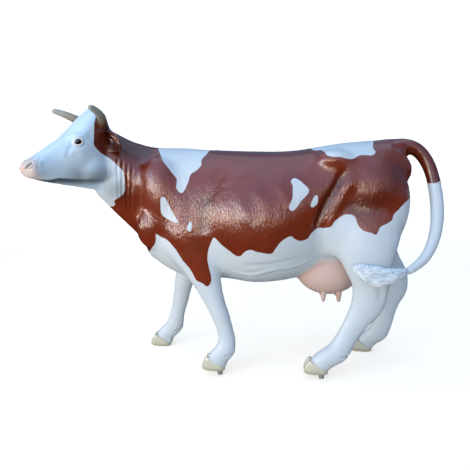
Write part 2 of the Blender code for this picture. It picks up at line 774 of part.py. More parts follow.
# base colour, roughness, metallic, by how each node's name starts
PAINTS = (
    ("head", (0.62, 0.70, 0.80), 0.25, 0.0),
    ("neck", (0.14, 0.030, 0.018), 0.22, 0.0),
    ("chest", (0.15, 0.030, 0.018), 0.22, 0.0),
    ("barrel", (0.16, 0.033, 0.018), 0.22, 0.0),
    ("hindquarters", (0.17, 0.035, 0.018), 0.22, 0.0),
    ("tail_root", (0.16, 0.030, 0.018), 0.22, 0.0),
    ("tail_middle", (0.17, 0.033, 0.018), 0.22, 0.0),
    ("tail_lower", (0.62, 0.68, 0.76), 0.25, 0.0),
    ("tail_switch", (0.60, 0.64, 0.70), 0.30, 0.0),
    ("horn", (0.13, 0.13, 0.11), 0.25, 0.0),
    ("ear", (0.15, 0.040, 0.025), 0.25, 0.0),
    ("eye", (0.020, 0.014, 0.012), 0.05, 0.0),
    ("udder", (0.62, 0.46, 0.40), 0.30, 0.0),
    ("teat", (0.60, 0.38, 0.32), 0.30, 0.0),
)
LEG_PAINT = ((0.60, 0.67, 0.77), 0.25, 0.0)
CLAW_PAINT = ((0.33, 0.32, 0.30), 0.25, 0.0)
PEG_PAINT = ((0.30, 0.31, 0.32), 0.45, 0.9)


def paint_of(name):
    if "claw" in name:
        return CLAW_PAINT
    if "peg" in name:
        return PEG_PAINT
    for start, *paint in PAINTS:
        if name.startswith(start):
            return paint
    return LEG_PAINT


def paint(thing):
    colour, roughness, metallic = paint_of(thing.name)
    made = bpy.data.materials.new(thing.name)
    made.use_nodes = True
    surface = made.node_tree.nodes["Principled BSDF"]
    surface.inputs["Base Color"].default_value = (*colour, 1.0)
    surface.inputs["Roughness"].default_value = roughness
    surface.inputs["Metallic"].default_value = metallic
    thing.data.materials.clear()
    thing.data.materials.append(made)


def main():
    for thing in list(bpy.data.objects):
        bpy.data.objects.remove(thing, do_unlink=True)
    body = flesh()
    crease(body, FLANK_FOLD, 0.030, 0.011)
    crease(body, ELBOW_HOLLOW, 0.055, 0.018)
    thin = body.modifiers.new("thin", "DECIMATE")
    thin.ratio = FLESH_TRIANGLES / (2 * len(body.data.polygons))
    frozen(body)

    udder = ellipsoid("udder", *UDDER, 14, 9)
    inset = [udder, switch()]
    for side in (1, -1):
        eye_place = on_head(EYE[0], EYE[1] * side, EYE[2])
        inset.append(horn(side))
        inset.append(ear(side))
        inset.append(ellipsoid(f"eye_{hand(side)}", eye_place, (EYE_RADIUS,) * 3, 10, 7))
    for piece in inset:
        body = without(body, grown(piece))
    for place, (x, y) in TEAT_ROOTS.items():
        for side in (-1, 1):
            udder = without(udder, grown(teat(place, x, y * side)))
    for name, foot in FEET.items():
        for side in (-1, 1):
            which = "inner" if side * foot.y < 0 else "outer"
            claw(f"{name}_claw_{which}", foot, side)
        if foot.z > 0:
            peg(f"{name}_peg", foot)
    part_flesh(body)

    pieces = list(bpy.data.objects)
    corners = np.array([tuple(point.co) for piece in pieces for point in piece.data.vertices])
    middle = (corners.min(axis=0) + corners.max(axis=0)) / 2
    cow = bpy.data.objects.new("cow_statue", None)
    bpy.context.scene.collection.objects.link(cow)
    cow.location = (-middle[0], -middle[1], 0.0)
    for piece in pieces:
        piece.parent = cow
        paint(piece)
        piece.data.shade_smooth()
        piece.data.set_sharp_from_angle(angle=math.radians(50))


if __name__ == "__main__":
    main()
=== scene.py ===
"""The looks of a life-size cow statue: a glass-fibre shell, sculpted with hair and painted in gloss.

The skin is modelled as a sculptor would: lofts and ellipsoids of clay are joined into one surface,
which is smoothed, refined where the face, neck folds and feet need it, and worked with grooves and
swellings. Horns, eyes, ears, hooves, teats, pegs and the tail's locks are pieces of their own.

Metres, +Z up. The cow faces -X, and its left side is towards -Y.
"""

import logging
import math
from dataclasses import dataclass, field
from enum import Enum

import bmesh
import bpy
import numpy as np
from mathutils import Matrix, Vector, noise


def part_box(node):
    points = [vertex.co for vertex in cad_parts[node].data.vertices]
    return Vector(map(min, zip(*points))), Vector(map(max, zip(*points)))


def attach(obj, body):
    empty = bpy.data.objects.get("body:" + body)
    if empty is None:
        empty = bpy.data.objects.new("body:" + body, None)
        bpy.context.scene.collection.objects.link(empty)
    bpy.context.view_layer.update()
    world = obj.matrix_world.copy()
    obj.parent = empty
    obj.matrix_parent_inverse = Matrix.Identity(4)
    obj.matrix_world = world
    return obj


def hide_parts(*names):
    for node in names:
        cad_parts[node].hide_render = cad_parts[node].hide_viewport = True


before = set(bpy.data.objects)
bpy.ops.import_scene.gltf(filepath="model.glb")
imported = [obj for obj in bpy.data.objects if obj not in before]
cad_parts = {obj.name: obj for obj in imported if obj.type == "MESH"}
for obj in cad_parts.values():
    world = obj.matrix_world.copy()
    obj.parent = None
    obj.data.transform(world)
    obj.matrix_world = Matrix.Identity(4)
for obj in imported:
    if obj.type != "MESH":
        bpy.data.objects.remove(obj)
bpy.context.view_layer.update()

LOG = logging.getLogger("cow_statue")
Array = np.ndarray
Rows = tuple[tuple[float, ...], ...]
Thing = bpy.types.Object
Material = bpy.types.Material
Tree = bpy.types.NodeTree
Socket = bpy.types.NodeSocket

LEFT, RIGHT = 1, -1
HEAD_YAW = math.radians(50)  # the head turns this far towards the cow's left
HEAD_TILT = 0.035
HEAD_PLACE = Vector((-0.84, -0.12, 0.0))
AHEAD = Vector((-math.cos(HEAD_YAW), -math.sin(HEAD_YAW), 0.0))
HEAD_LEFT = Vector((math.sin(HEAD_YAW), -math.cos(HEAD_YAW), -HEAD_TILT)).normalized()
UP = Vector((0.0, 0.0, 1.0))
FORE_PEG = Vector((-0.074, -0.214, 0.0))  # the left fore peg, in the cow's own plan


def peg_offset() -> Vector:
    """Measures the frame's origin against the cow's own plan.

    Returns:
        How far the frame's origin lies from the plan's.
    """
    low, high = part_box("fore_left_peg")
    middle = (low + high) / 2
    return Vector((middle.x - FORE_PEG.x, middle.y - FORE_PEG.y, 0.0))


SHIFT = peg_offset()


def on_head(ahead: float, across: float, height: float) -> Vector:
    """Returns a point of the cow's own plan, given along the head, out to its left, and above the floor."""
    return HEAD_PLACE + AHEAD * ahead + HEAD_LEFT * across + UP * height


def through(rows: Rows, count: int) -> Array:
    """Draws a smooth curve through the rows of a table.

    Args:
        rows: stations of equal length.
        count: how many rows the result has.

    Returns:
        The interpolated rows.
    """
    table = np.asarray(rows, float)
    padded = np.vstack([2 * table[0] - table[1], table, 2 * table[-1] - table[-2]])
    out = []
    for place in np.linspace(0, len(table) - 1, count):
        i = min(int(place), len(table) - 2)
        t = place - i
        before, start, end, after = padded[i : i + 4]
        square = (2 * before - 5 * start + 4 * end - after) * t**2
        cube = (3 * start - before - 3 * end + after) * t**3
        out.append(0.5 * (2 * start + (end - before) * t + square + cube))
    return np.array(out)


def power(value: float, exponent: float) -> float:
    """Returns the power of the value's size, with its sign kept."""
    return math.copysign(abs(value) ** exponent, value)


# ------------------------------------------------------------------ colours and shader nodes


def linear(hex_value: str) -> tuple[float, float, float, float]:
    """Turns an sRGB hex colour into linear light.

    Args:
        hex_value: Six hex digits.

    Returns:
        Linear red, green and blue, with an alpha of 1.
    """
    parts = [int(hex_value[i : i + 2], 16) / 255 for i in (0, 2, 4)]
    red, green, blue = (c / 12.92 if c <= 0.04045 else ((c + 0.055) / 1.055) ** 2.4 for c in parts)
    return red, green, blue, 1.0


def add_node(
    tree: Tree, kind: str, settings: dict | None = None, links: dict | None = None, out: str | int = 0
) -> Socket | None:
    """Adds one shader node.

    Args:
        tree: the material's or the world's nodes.
        kind: the node's type name, without its first two words.
        settings: attributes by name, and input values by socket name or number.
        links: output sockets by the input that they feed.
        out: which of its outputs is wanted.

    Returns:
        That output, or None from a node that has none.
    """
    node = tree.nodes.new(f"ShaderNode{kind}")
    for name, value in (settings or {}).items():
        if isinstance(name, int) or name in node.inputs:
            node.inputs[name].default_value = value
        else:
            setattr(node, name, value)
    for name, output in (links or {}).items():
        tree.links.new(output, node.inputs[name])
    return node.outputs[out] if node.outputs else None


def empty_material(name: str) -> tuple[Material, Tree]:
    """Makes a material with no nodes.

    Args:
        name: The material's name.

    Returns:
        The material and its tree.
    """
    made = bpy.data.materials.new(name)
    made.use_nodes = True
    made.node_tree.nodes.clear()
    return made, made.node_tree


MIXED = {"data_type": "RGBA"}  # a mix of colours has its share at 0, its colours at 6 and 7, its result at 2


@dataclass(frozen=True)
class HairRelief:
    """Hair sculpted in the clay before casting, as grooves that hang down.

    Attributes:
        across_mm: distance from lock to lock.
        along_mm: length of a lock.
        height_mm: depth of the grooves.
        sway: how far the locks wander, in metres.
    """

    across_mm: float = 9.0
    along_mm: float = 30.0
    height_mm: float = 6.5
    sway: float = 0.05

    def bump(self, tree: Tree, place: Socket) -> Socket:
        """Builds the relief.

        Args:
            tree: the material's nodes.
            place: object coordinates.

        Returns:
            The shading normal.
        """
        scale = (1000 / self.across_mm, 1000 / self.across_mm, 1000 / self.along_mm)
        bent = add_node(tree, "TexNoise", {"Scale": 5.0, "Detail": 1.0}, {"Vector": place}, "Color")
        push = add_node(tree, "VectorMath", {"operation": "SCALE", "Scale": self.sway}, {0: bent})
        moved = add_node(tree, "VectorMath", {"operation": "ADD"}, {0: place, 1: push})
        drawn = add_node(tree, "Mapping", {"Scale": scale}, {"Vector": moved})
        locks = add_node(tree, "TexNoise", {"Scale": 1.0, "Detail": 3.0, "Roughness": 0.6}, {"Vector": drawn})
        patchy = add_node(tree, "TexNoise", {"Scale": 4.0, "Detail": 2.0}, {"Vector": place})
        worn = {"From Min": 0.35, "From Max": 0.65, "To Min": 0.45, "To Max": 1.0}
        where = add_node(tree, "MapRange", worn, {"Value": patchy})
        combed = add_node(tree, "Attribute", {"attribute_name": "relief_by"}, out="Fac")
        strength = add_node(tree, "Math", {"operation": "MULTIPLY"}, {0: where, 1: combed})
        depth = {"Distance": self.height_mm / 1000}
        return add_node(tree, "Bump", depth, {"Height": locks, "Strength": strength})


@dataclass(frozen=True)
class CoatPaint:
    """Two-colour gloss enamel over glass fibre: a thick film that mirrors the sky, duller on the white.

    Attributes:
        red: the red-brown enamel, and where the brush left it thick.
        white: the cold white enamel, and where it is worn.
        face: a bluer white painted on the face for the sky's light on it.
        udder: the pink-beige enamel.
        blush: the pink of muzzle and lids.
        grey: painted shade inside the nostrils, and the grey of the tear ducts.
        shade: painted shade, multiplied into the hollows and along the red topline.
        edge_mm: how soft the border of the colours is.
        rough: of the film, on red and on white.
        varnish: weight of the clear coat, on red and on white.
        dulled: how much of the clear coat is taken where the shade is painted.
        relief: the sculpted hair.
    """

    red: tuple[str, str] = ("86300F", "5C1D0A")
    white: tuple[str, str] = ("D0DADE", "C2CCD1")
    face: str = "CDE6F6"
    udder: str = "D0B5AA"
    blush: str = "E2B79C"
    grey: str = "8C8A88"
    shade: str = "4A4F58"
    edge_mm: float = 2.5
    rough: tuple[float, float] = (0.27, 0.42)
    varnish: tuple[float, float] = (0.85, 0.10)
    dulled: float = 0.55
    relief: HairRelief = HairRelief()

    def material(self) -> Material:
        """Mixes the skin's material, which reads the skin's own paint attributes.

        Returns:
            The material.
        """
        made, tree = empty_material("coat_gloss_enamel")
        place = add_node(tree, "TexCoord", out="Object")
        marks = ("white_by", "skylight_tint_by", "udder_by", "blush_by", "grey_by", "painted_shade_by")
        by = {name: add_node(tree, "Attribute", {"attribute_name": name}, out="Fac") for name in marks}
        wander = add_node(tree, "TexNoise", {"Scale": 45.0, "Detail": 2.0}, {"Vector": place})
        off = add_node(tree, "Math", {"operation": "MULTIPLY_ADD", 1: 0.004, 2: -0.002}, {0: wander})
        edge = add_node(tree, "Math", {"operation": "ADD"}, {0: by["white_by"], 1: off})
        half = self.edge_mm / 2000
        whiteness = add_node(tree, "MapRange", {"From Min": -half, "From Max": half}, {"Value": edge})
        brushed = add_node(tree, "TexNoise", {"Scale": 7.0, "Detail": 4.0}, {"Vector": place})
        red, white = (
            add_node(tree, "Mix", MIXED | {6: linear(clean), 7: linear(worn)}, {0: brushed}, 2)
            for clean, worn in (self.red, self.white)
        )
        # painted skylight: a bluer white on the face, for the sky's cool light on it
        white = add_node(tree, "Mix", MIXED | {7: linear(self.face)}, {0: by["skylight_tint_by"], 6: white}, 2)
        colour = add_node(tree, "Mix", MIXED, {0: whiteness, 6: red, 7: white}, 2)
        for name, paint in (("udder_by", self.udder), ("blush_by", self.blush), ("grey_by", self.grey)):
            colour = add_node(tree, "Mix", MIXED | {7: linear(paint)}, {0: by[name], 6: colour}, 2)
        # painted shade: the blue-grey is multiplied into the colour where the shade is painted
        shaded = MIXED | {"blend_type": "MULTIPLY", 7: linear(self.shade)}
        colour = add_node(tree, "Mix", shaded, {0: by["painted_shade_by"], 6: colour}, 2)
        rough, varnish = (
            add_node(tree, "MapRange", {"To Min": on_red, "To Max": on_white}, {"Value": whiteness})
            for on_red, on_white in (self.rough, self.varnish)
        )
        dulled = {"operation": "MULTIPLY_ADD", 1: -self.dulled, 2: 1.0}
        kept = add_node(tree, "Math", dulled, {0: by["painted_shade_by"]})
        varnish = add_node(tree, "Math", {"operation": "MULTIPLY"}, {0: varnish, 1: kept})
        normal = self.relief.bump(tree, place)
        links = {
            "Base Color": colour,
            "Roughness": rough,
            "Coat Weight": varnish,
            "Normal": normal,
            "Coat Normal": normal,
        }
        surface = add_node(tree, "BsdfPrincipled", {"IOR": 1.5, "Coat Roughness": 0.09}, links)
        add_node(tree, "OutputMaterial", links={"Surface": surface})
        return made


@dataclass(frozen=True)
class PlainPaint:
    """One gloss enamel, with a second colour in places, over a surface with its own fine relief.

    Attributes:
        name: what the finish is called.
        colour: the main colour.
        second: the second colour, where the attribute or the grain puts it; on the switch it is painted
            shade.
        roughness: of the film.
        grain_mm: size of the uneven patches.
        bump_mm: height of the relief.
        second_by: the mesh attribute that places the second colour; without one, the grain does.
        stretch: how the grain is drawn out along X, Y and Z.
    """

    name: str
    colour: str
    second: str
    roughness: float
    grain_mm: float
    bump_mm: float
    second_by: str = ""
    stretch: tuple[float, float, float] = (1.0, 1.0, 1.0)

    def material(self) -> Material:
        """Mixes the finish as a material.

        Returns:
            The material.
        """
        made, tree = empty_material(self.name)
        place = add_node(tree, "TexCoord", out="Object")
        drawn = add_node(tree, "Mapping", {"Scale": self.stretch}, {"Vector": place})
        grain = add_node(tree, "TexNoise", {"Scale": 500 / self.grain_mm, "Detail": 4.0}, {"Vector": drawn})
        if self.second_by:
            share = add_node(tree, "Attribute", {"attribute_name": self.second_by}, out="Fac")
        else:
            share = add_node(tree, "MapRange", {"From Min": 0.35, "From Max": 0.7}, {"Value": grain})
        both = MIXED | {6: linear(self.colour), 7: linear(self.second)}
        colour = add_node(tree, "Mix", both, {0: share}, 2)
        depth = {"Distance": self.bump_mm / 1000, "Strength": 0.8}
        normal = add_node(tree, "Bump", depth, {"Height": grain})
        links = {"Base Color": colour, "Normal": normal}
        surface = add_node(tree, "BsdfPrincipled", {"Roughness": self.roughness}, links)
        add_node(tree, "OutputMaterial", links={"Surface": surface})
        return made


@dataclass(frozen=True)
class EyePaint:
    """Enamel eye under clear varnish, with a sharp reflection.

    Attributes:
        rim: the ring round the iris.
        iris: a brown that is nearly black.
        pupil: black.
    """

    rim: str = "4A3D38"
    iris: str = "1B0F0C"
    pupil: str = "050405"

    def material(self) -> Material:
        """Mixes the eye's material.

        Returns:
            The material.
        """
        made, tree = empty_material("eye_varnished_enamel")
        iris = add_node(tree, "Attribute", {"attribute_name": "iris_by"}, out="Fac")
        pupil = add_node(tree, "Attribute", {"attribute_name": "pupil_by"}, out="Fac")
        colour = add_node(tree, "Mix", MIXED | {6: linear(self.rim), 7: linear(self.iris)}, {0: iris}, 2)
        colour = add_node(tree, "Mix", MIXED | {7: linear(self.pupil)}, {0: pupil, 6: colour}, 2)
        film = {"Roughness": 0.10, "Coat Weight": 1.0, "Coat Roughness": 0.02}
        surface = add_node(tree, "BsdfPrincipled", film, {"Base Color": colour})
        add_node(tree, "OutputMaterial", links={"Surface": surface})
        return made


# ------------------------------------------------------------------ modelling helpers


def pick_only(thing: Thing) -> None:
    """Selects the object alone and makes it active.

    Args:
        thing: The object.
    """
    bpy.ops.object.select_all(action="DESELECT")
    thing.select_set(True)
    bpy.context.view_layer.objects.active = thing


def apply_modifiers(thing: Thing) -> None:
    """Applies the object's modifiers in order.

    Args:
        thing: The object.
    """
    pick_only(thing)
    for modifier in list(thing.modifiers):
        bpy.ops.object.modifier_apply(modifier=modifier.name)


def from_bmesh(mesh: bmesh.types.BMesh, name: str) -> Thing:
    """Makes an object of the mesh, which is freed.

    Args:
        mesh: The finished mesh.
        name: The object's name.

    Returns:
        The object.
    """
    bmesh.ops.recalc_face_normals(mesh, faces=mesh.faces)
    data = bpy.data.meshes.new(name)
    mesh.to_mesh(data)
    mesh.free()
    made = bpy.data.objects.new(name, data)
    bpy.context.scene.collection.objects.link(made)
    return made


def drawn_out(name: str, rings: list[list[Vector]]) -> Thing:
    """Models a closed tube: a flat ring is extruded from section to section.

    Args:
        name: the piece's name.
        rings: the sections, all with the same number of points.

    Returns:
        The piece, open at neither end.
    """
    bpy.ops.object.select_all(action="DESELECT")
    bpy.ops.mesh.primitive_circle_add(vertices=len(rings[0]), radius=0.01, fill_type="NGON")
    made = bpy.context.object
    made.name = name
    made.data.name = name
    bpy.ops.object.mode_set(mode="EDIT")
    bpy.ops.mesh.select_all(action="SELECT")
    mesh = bmesh.from_edit_mesh(made.data)
    number = mesh.verts.layers.int.new("number")
    for i, point in enumerate(mesh.verts):
        point[number] = i
        point.co = rings[0][i]
    bmesh.update_edit_mesh(made.data)
    for ring in rings[1:]:
        bpy.ops.mesh.extrude_region()
        mesh = bmesh.from_edit_mesh(made.data)
        number = mesh.verts.layers.int["number"]
        for point in mesh.verts:
            if point.select:
                point.co = ring[point[number]]
        bmesh.update_edit_mesh(made.data)
    bpy.ops.mesh.select_all(action="SELECT")
    bpy.ops.mesh.normals_make_consistent(inside=False)
    bpy.ops.object.mode_set(mode="OBJECT")
    made.data.attributes.remove(made.data.attributes["number"])
    return made


def tube_rings(rows: Array, steps: int, flat: float = 1.0, lift: Vector | None = None) -> list[list[Vector]]:
    """Lays round or flattened sections along a path.

    Args:
        rows: x, y, z and radius of each section.
        steps: points in a section.
        flat: the section's second radius as a share of its first.
        lift: the direction that the second radius keeps to.

    Returns:
        The sections.
    """
    rings = []
    side = None
    for i, (x, y, z, radius) in enumerate(rows):
        ahead = rows[min(i + 1, len(rows) - 1)][:3] - rows[max(i - 1, 0)][:3]
        along = Vector(ahead).normalized()
        if lift is not None:
            side = along.cross(lift).normalized()
        elif side is None:
            side = along.orthogonal().normalized()
        else:
            side = along.cross(side).cross(along).normalized()
        high = side.cross(along).normalized()
        ring = []
        for step in range(steps):
            angle = 2 * math.pi * step / steps
            across = side * math.cos(angle) * radius
            ring.append(Vector((x, y, z)) + across + high * math.sin(angle) * radius * flat)
        rings.append(ring)
    return rings


def set_attribute(thing: Thing, name: str, values: Array) -> None:
    """Stores one number for each point of the mesh."""
    made = thing.data.attributes.new(name, "FLOAT", "POINT")
    made.data.foreach_set("value", np.asarray(values, np.float32))


def points_of(thing: Thing) -> Array:
    """Reads the mesh's points.

    Args:
        thing: The object.

    Returns:
        One row of X, Y and Z for each point.
    """
    points = np.empty(len(thing.data.vertices) * 3)
    thing.data.vertices.foreach_get("co", points)
    return points.reshape(-1, 3)


def hand(side: int) -> str:
    """Returns the side's name."""
    return "left" if side == LEFT else "right"


def dressed(thing: Thing, material: Material, stands_for: list[str]) -> Thing:
    """Moves a finished piece from the cow's plan to the frame, and joins it to the model.

    Args:
        thing: the piece, in the cow's own plan.
        material: its finish.
        stands_for: the solids that it replaces.

    Returns:
        The piece.
    """
    thing.data.transform(Matrix.Translation(SHIFT))
    thing.data.materials.clear()
    thing.data.materials.append(material)
    thing.data.shade_smooth()
    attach(thing, "root")
    if stands_for:
        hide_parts(*stands_for)
    LOG.info("%s: %d faces", thing.name, len(thing.data.polygons))
    return thing


# ------------------------------------------------------------------ clay


@dataclass
class Clay:
    """Closed shapes that overlap, gathered in one mesh until the skin joins them.

    Attributes:
        mesh: what is gathered.
        ring_points: how many points an outline has.
    """

    mesh: bmesh.types.BMesh = field(default_factory=bmesh.new)
    ring_points: int = 36

    def ring(
        self,
        top: Vector,
        bottom: Vector,
        side: Vector,
        half_width: float,
        widest: float = 0.5,
        above: float = 2.0,
        below: float = 2.0,
    ) -> list[Vector]:
        """Draws a closed superellipse.

        Args:
            top: its highest point.
            bottom: its lowest point.
            side: the direction across.
            half_width: its reach to each side.
            widest: where it is widest, as a share of its height.
            above: how square it is above that.
            below: how square it is below that.

        Returns:
            The outline.
        """
        middle = bottom.lerp(top, widest)
        points = []
        for step in range(self.ring_points):
            angle = 2 * math.pi * step / self.ring_points
            square = above if math.sin(angle) >= 0 else below
            across = power(math.cos(angle), 2 / square) * half_width
            rise = power(math.sin(angle), 2 / square)
            reach = (top - middle) * rise if rise >= 0 else (bottom - middle) * -rise
            points.append(middle + side * across + reach)
        return points

    def loft(self, rings: list[list[Vector]]) -> None:
        """Adds a closed body through the outlines.

        Args:
            rings: The outlines, from end to end.
        """
        loops = [[self.mesh.verts.new(point) for point in points] for points in rings]
        for first, second in zip(loops, loops[1:]):
            for i in range(len(first)):
                j = (i + 1) % len(first)
                self.mesh.faces.new((first[i], first[j], second[j], second[i]))
        self.mesh.faces.new(loops[0][::-1])
        self.mesh.faces.new(loops[-1])

    def ball(self, centre: Vector | tuple, radii: tuple, pitch: float = 0.0, yaw: float = 0.0) -> None:
        """Adds an ellipsoid.

        Args:
            centre: Its centre.
            radii: Its half-sizes along X, Y and Z.
            pitch: Its turn about Y in degrees.
            yaw: Its turn about Z, after the first.
        """
        turned = Matrix.Rotation(math.radians(yaw), 4, "Z") @ Matrix.Rotation(math.radians(pitch), 4, "Y")
        place = Matrix.Translation(Vector(centre)) @ turned @ Matrix.Diagonal((*radii, 1.0))
        bmesh.ops.create_uvsphere(self.mesh, u_segments=32, v_segments=20, radius=1.0, matrix=place)

    def limb(self, rows: Rows, side: int = 0, count: int = 56) -> None:
        """Adds a tube through rows of x, y, z, half depth and half width.

        Args:
            rows: the stations; y is away from the median plane where a side is given.
            side: LEFT or RIGHT, or 0 to take y as it is.
            count: how many sections.
        """
        stations = through(rows, count)
        if side:
            stations[:, 1] *= -side
        rings = []
        for i, (x, y, z, depth, width) in enumerate(stations):
            ahead = stations[min(i + 1, count - 1)][:3] - stations[max(i - 1, 0)][:3]
            along = Vector(ahead).normalized()
            front = Vector((0, 1, 0)).cross(along).normalized()
            across = along.cross(front).normalized()
            centre = Vector((x, y, z))
            rings.append(self.ring(centre + front * depth, centre - front * depth, across, width))
        self.loft(rings)


@dataclass
class Sculptor:
    """Works a surface with soft tools, which press in or raise it along its own normals.

    Attributes:
        thing: the piece.
        points: its points.
        normals: the surface's direction at each.
    """

    thing: Thing
    points: Array = field(init=False)
    normals: Array = field(init=False)

    def __post_init__(self) -> None:
        """Reads the surface."""
        self.read()

    def read(self) -> None:
        """Reads points and normals from the mesh."""
        self.points = points_of(self.thing)
        normals = np.empty(self.points.size)
        self.thing.data.vertices.foreach_get("normal", normals)
        self.normals = normals.reshape(-1, 3)

    def write(self) -> None:
        """Writes the points back and takes the new normals."""
        self.thing.data.vertices.foreach_set("co", self.points.ravel())
        self.thing.data.update()
        self.read()

    def off_path(self, path: Array, near: Array | None = None) -> tuple[Array, Array]:
        """Measures the surface against a path.

        Args:
            path: the path's points.
            near: true for each point to measure, or None for all.

        Returns:
            Those points' distance to the path, and how far along it the nearest place is, from 0 to 1.
        """
        points = self.points if near is None else self.points[near]
        nearest = np.full(len(points), np.inf)
        along = np.zeros(len(points))
        lengths = np.linalg.norm(np.diff(path, axis=0), axis=1)
        starts = np.concatenate([[0], np.cumsum(lengths)]) / lengths.sum()
        for k, (start, end) in enumerate(zip(path, path[1:])):
            run = end - start
            share = np.clip((points - start) @ run / (run @ run), 0, 1)
            off = np.linalg.norm(points - start - share[:, None] * run, axis=1)
            closer = off < nearest
            nearest[closer] = off[closer]
            along[closer] = (starts[k] + share * lengths[k] / lengths.sum())[closer]
        return nearest, along

    def groove(self, path: Rows | list, width: float, depth: float, bank: float = 0.0) -> None:
        """Presses a groove, fading to its ends, with a soft bank on each side.

        Args:
            path: points that it runs through.
            width: how far its sides reach.
            depth: how deep it is; a negative depth raises a ridge.
            bank: height of the banks as a share of the depth.
        """
        smooth = through(tuple(tuple(point) for point in path), 4 * len(path))
        room = 4 * width
        above = (self.points > smooth.min(axis=0) - room).all(axis=1)
        near = above & (self.points < smooth.max(axis=0) + room).all(axis=1)
        off, along = self.off_path(smooth, near)
        fade = np.clip(np.minimum(along, 1 - along) * 6, 0, 1) ** 0.7
        share = off / width
        shape = np.exp(-(share**2)) - bank * np.exp(-((share - 1.6) ** 2) * 2)
        self.points[near] -= self.normals[near] * (depth * fade * shape)[:, None]

    def laid(self, path: Rows, places: Array, reach: float, slack: float) -> list[tuple[float, float, float]]:
        """Moves a path out or in until it lies on the surface.

        Args:
            path: along, out and up of its points.
            places: the surface's points in the same directions.
            reach: how far round a point of the path the surface is searched.
            slack: the longest move.

        Returns:
            The path, with more points.
        """
        moved = []
        for along, out, height in through(path, 3 * len(path)):
            near = np.hypot(places[:, 0] - along, places[:, 2] - height) < reach
            near &= places[:, 1] > -0.004
            found = places[near, 1].max() if near.any() else out
            moved.append((along, found if abs(found - out) < slack else out, height))
        return moved

    def laid_on_body(self, path: Rows, side: int) -> list[tuple[float, ...]]:
        """Returns a path of x, out and up, laid on one flank, in the cow's own plan."""
        places = self.points * (1, -side, 1)
        return [(x, -out * side, z) for x, out, z in self.laid(path, places, 0.012, 0.04)]

    def laid_on_face(self, path: Rows, side: int) -> list[tuple[float, ...]]:
        """Returns a path in the head's directions, laid on one side of the face, in the cow's own plan."""
        places = head_places(self.points) * (1, side, 1)
        return [tuple(on_head(s, out * side, z)) for s, out, z in self.laid(path, places, 0.007, 0.045)]

    def swell(self, centre: Vector | tuple, radii: tuple, height: float, axes: tuple | None = None) -> None:
        """Raises or sinks an oval place.

        Args:
            centre: its middle.
            radii: how far it reaches along each axis.
            height: how far its middle rises; negative sinks it.
            axes: three directions, or None for X, Y and Z.
        """
        off = self.points - np.array(centre)
        if axes is not None:
            off = off @ np.array([tuple(axis) for axis in axes]).T
        share = ((off / np.array(radii)) ** 2).sum(axis=1)
        self.points += self.normals * (height * np.exp(-share))[:, None]


def inside_by(flat_points: Array, outline: Rows, smooth: int = 5) -> Array:
    """Measures points against a closed outline.

    Args:
        flat_points: pairs of coordinates.
        outline: the outline's corners, which a smooth curve passes through.
        smooth: how many steps there are from corner to corner.

    Returns:
        The distance to the outline, positive inside.
    """
    closed = np.array([*outline[-2:], *outline, *outline[:3]], float)
    count = (len(closed) - 1) * smooth + 1
    curve = through(closed, count)[2 * smooth : -3 * smooth + 1] if smooth > 1 else np.array(outline)
    ends = np.roll(curve, -1, axis=0)
    nearest = np.full(len(flat_points), np.inf)
    within = np.zeros(len(flat_points), bool)
    for start, end in zip(curve, ends):
        run = end - start
        length = run @ run
        if length < 1e-12:
            continue
        share = np.clip((flat_points - start) @ run / length, 0, 1)
        off = flat_points - start - share[:, None] * run
        nearest = np.minimum(nearest, np.hypot(off[:, 0], off[:, 1]))
        crosses = (start[1] > flat_points[:, 1]) != (end[1] > flat_points[:, 1])
        if run[1] != 0:
            at = start[0] + (flat_points[:, 1] - start[1]) / run[1] * run[0]
            within ^= crosses & (flat_points[:, 0] < at)
    return np.where(within, nearest, -nearest)


# ------------------------------------------------------------------ the cow's measures

# x, top, bottom, half width, height of the widest place (0 to 1), squareness above and below
TRUNK = (
    (-0.62, 1.2, 0.84, 0.09, 0.4, 2.0, 2.0),
    (-0.57, 1.34, 0.755, 0.15, 0.4, 1.9, 2.0),
    (-0.5, 1.396, 0.672, 0.195, 0.42, 1.8, 2.0),
    (-0.42, 1.397, 0.618, 0.225, 0.42, 1.7, 2.0),
    (-0.3, 1.395, 0.57, 0.25, 0.42, 1.7, 2.0),
    (-0.17, 1.383, 0.566, 0.275, 0.44, 1.8, 2.0),
    (-0.04, 1.377, 0.567, 0.318, 0.45, 1.9, 2.0),
    (0.12, 1.372, 0.547, 0.352, 0.45, 2.0, 2.0),
    (0.27, 1.37, 0.558, 0.35, 0.46, 2.0, 2.0),
    (0.4, 1.379, 0.585, 0.315, 0.5, 2.1, 2.0),
    (0.53, 1.4, 0.64, 0.275, 0.6, 2.3, 2.0),
    (0.66, 1.419, 0.72, 0.255, 0.62, 2.4, 2.0),
    (0.8, 1.431, 0.79, 0.24, 0.58, 2.2, 2.0),
    (0.92, 1.436, 0.86, 0.2, 0.55, 2.0, 2.0),
    (1.0, 1.425, 0.96, 0.14, 0.55, 2.0, 2.0),
    (1.03, 1.36, 1.06, 0.08, 0.5, 2.0, 2.0),
)

# the crest's x and z, the throat's x and z, y of the middle, half width
NECK = (
    (-0.42, 1.385, -0.36, 0.64, 0.0, 0.19),
    (-0.51, 1.4, -0.47, 0.69, 0.0, 0.18),
    (-0.59, 1.42, -0.565, 0.76, -0.01, 0.16),
    (-0.65, 1.44, -0.635, 0.85, -0.03, 0.142),
    (-0.705, 1.468, -0.705, 0.93, -0.055, 0.128),
    (-0.755, 1.494, -0.764, 1.0, -0.08, 0.113),
    (-0.8, 1.52, -0.82, 1.068, -0.105, 0.1),
    (-0.84, 1.55, -0.86, 1.12, -0.125, 0.09),
)

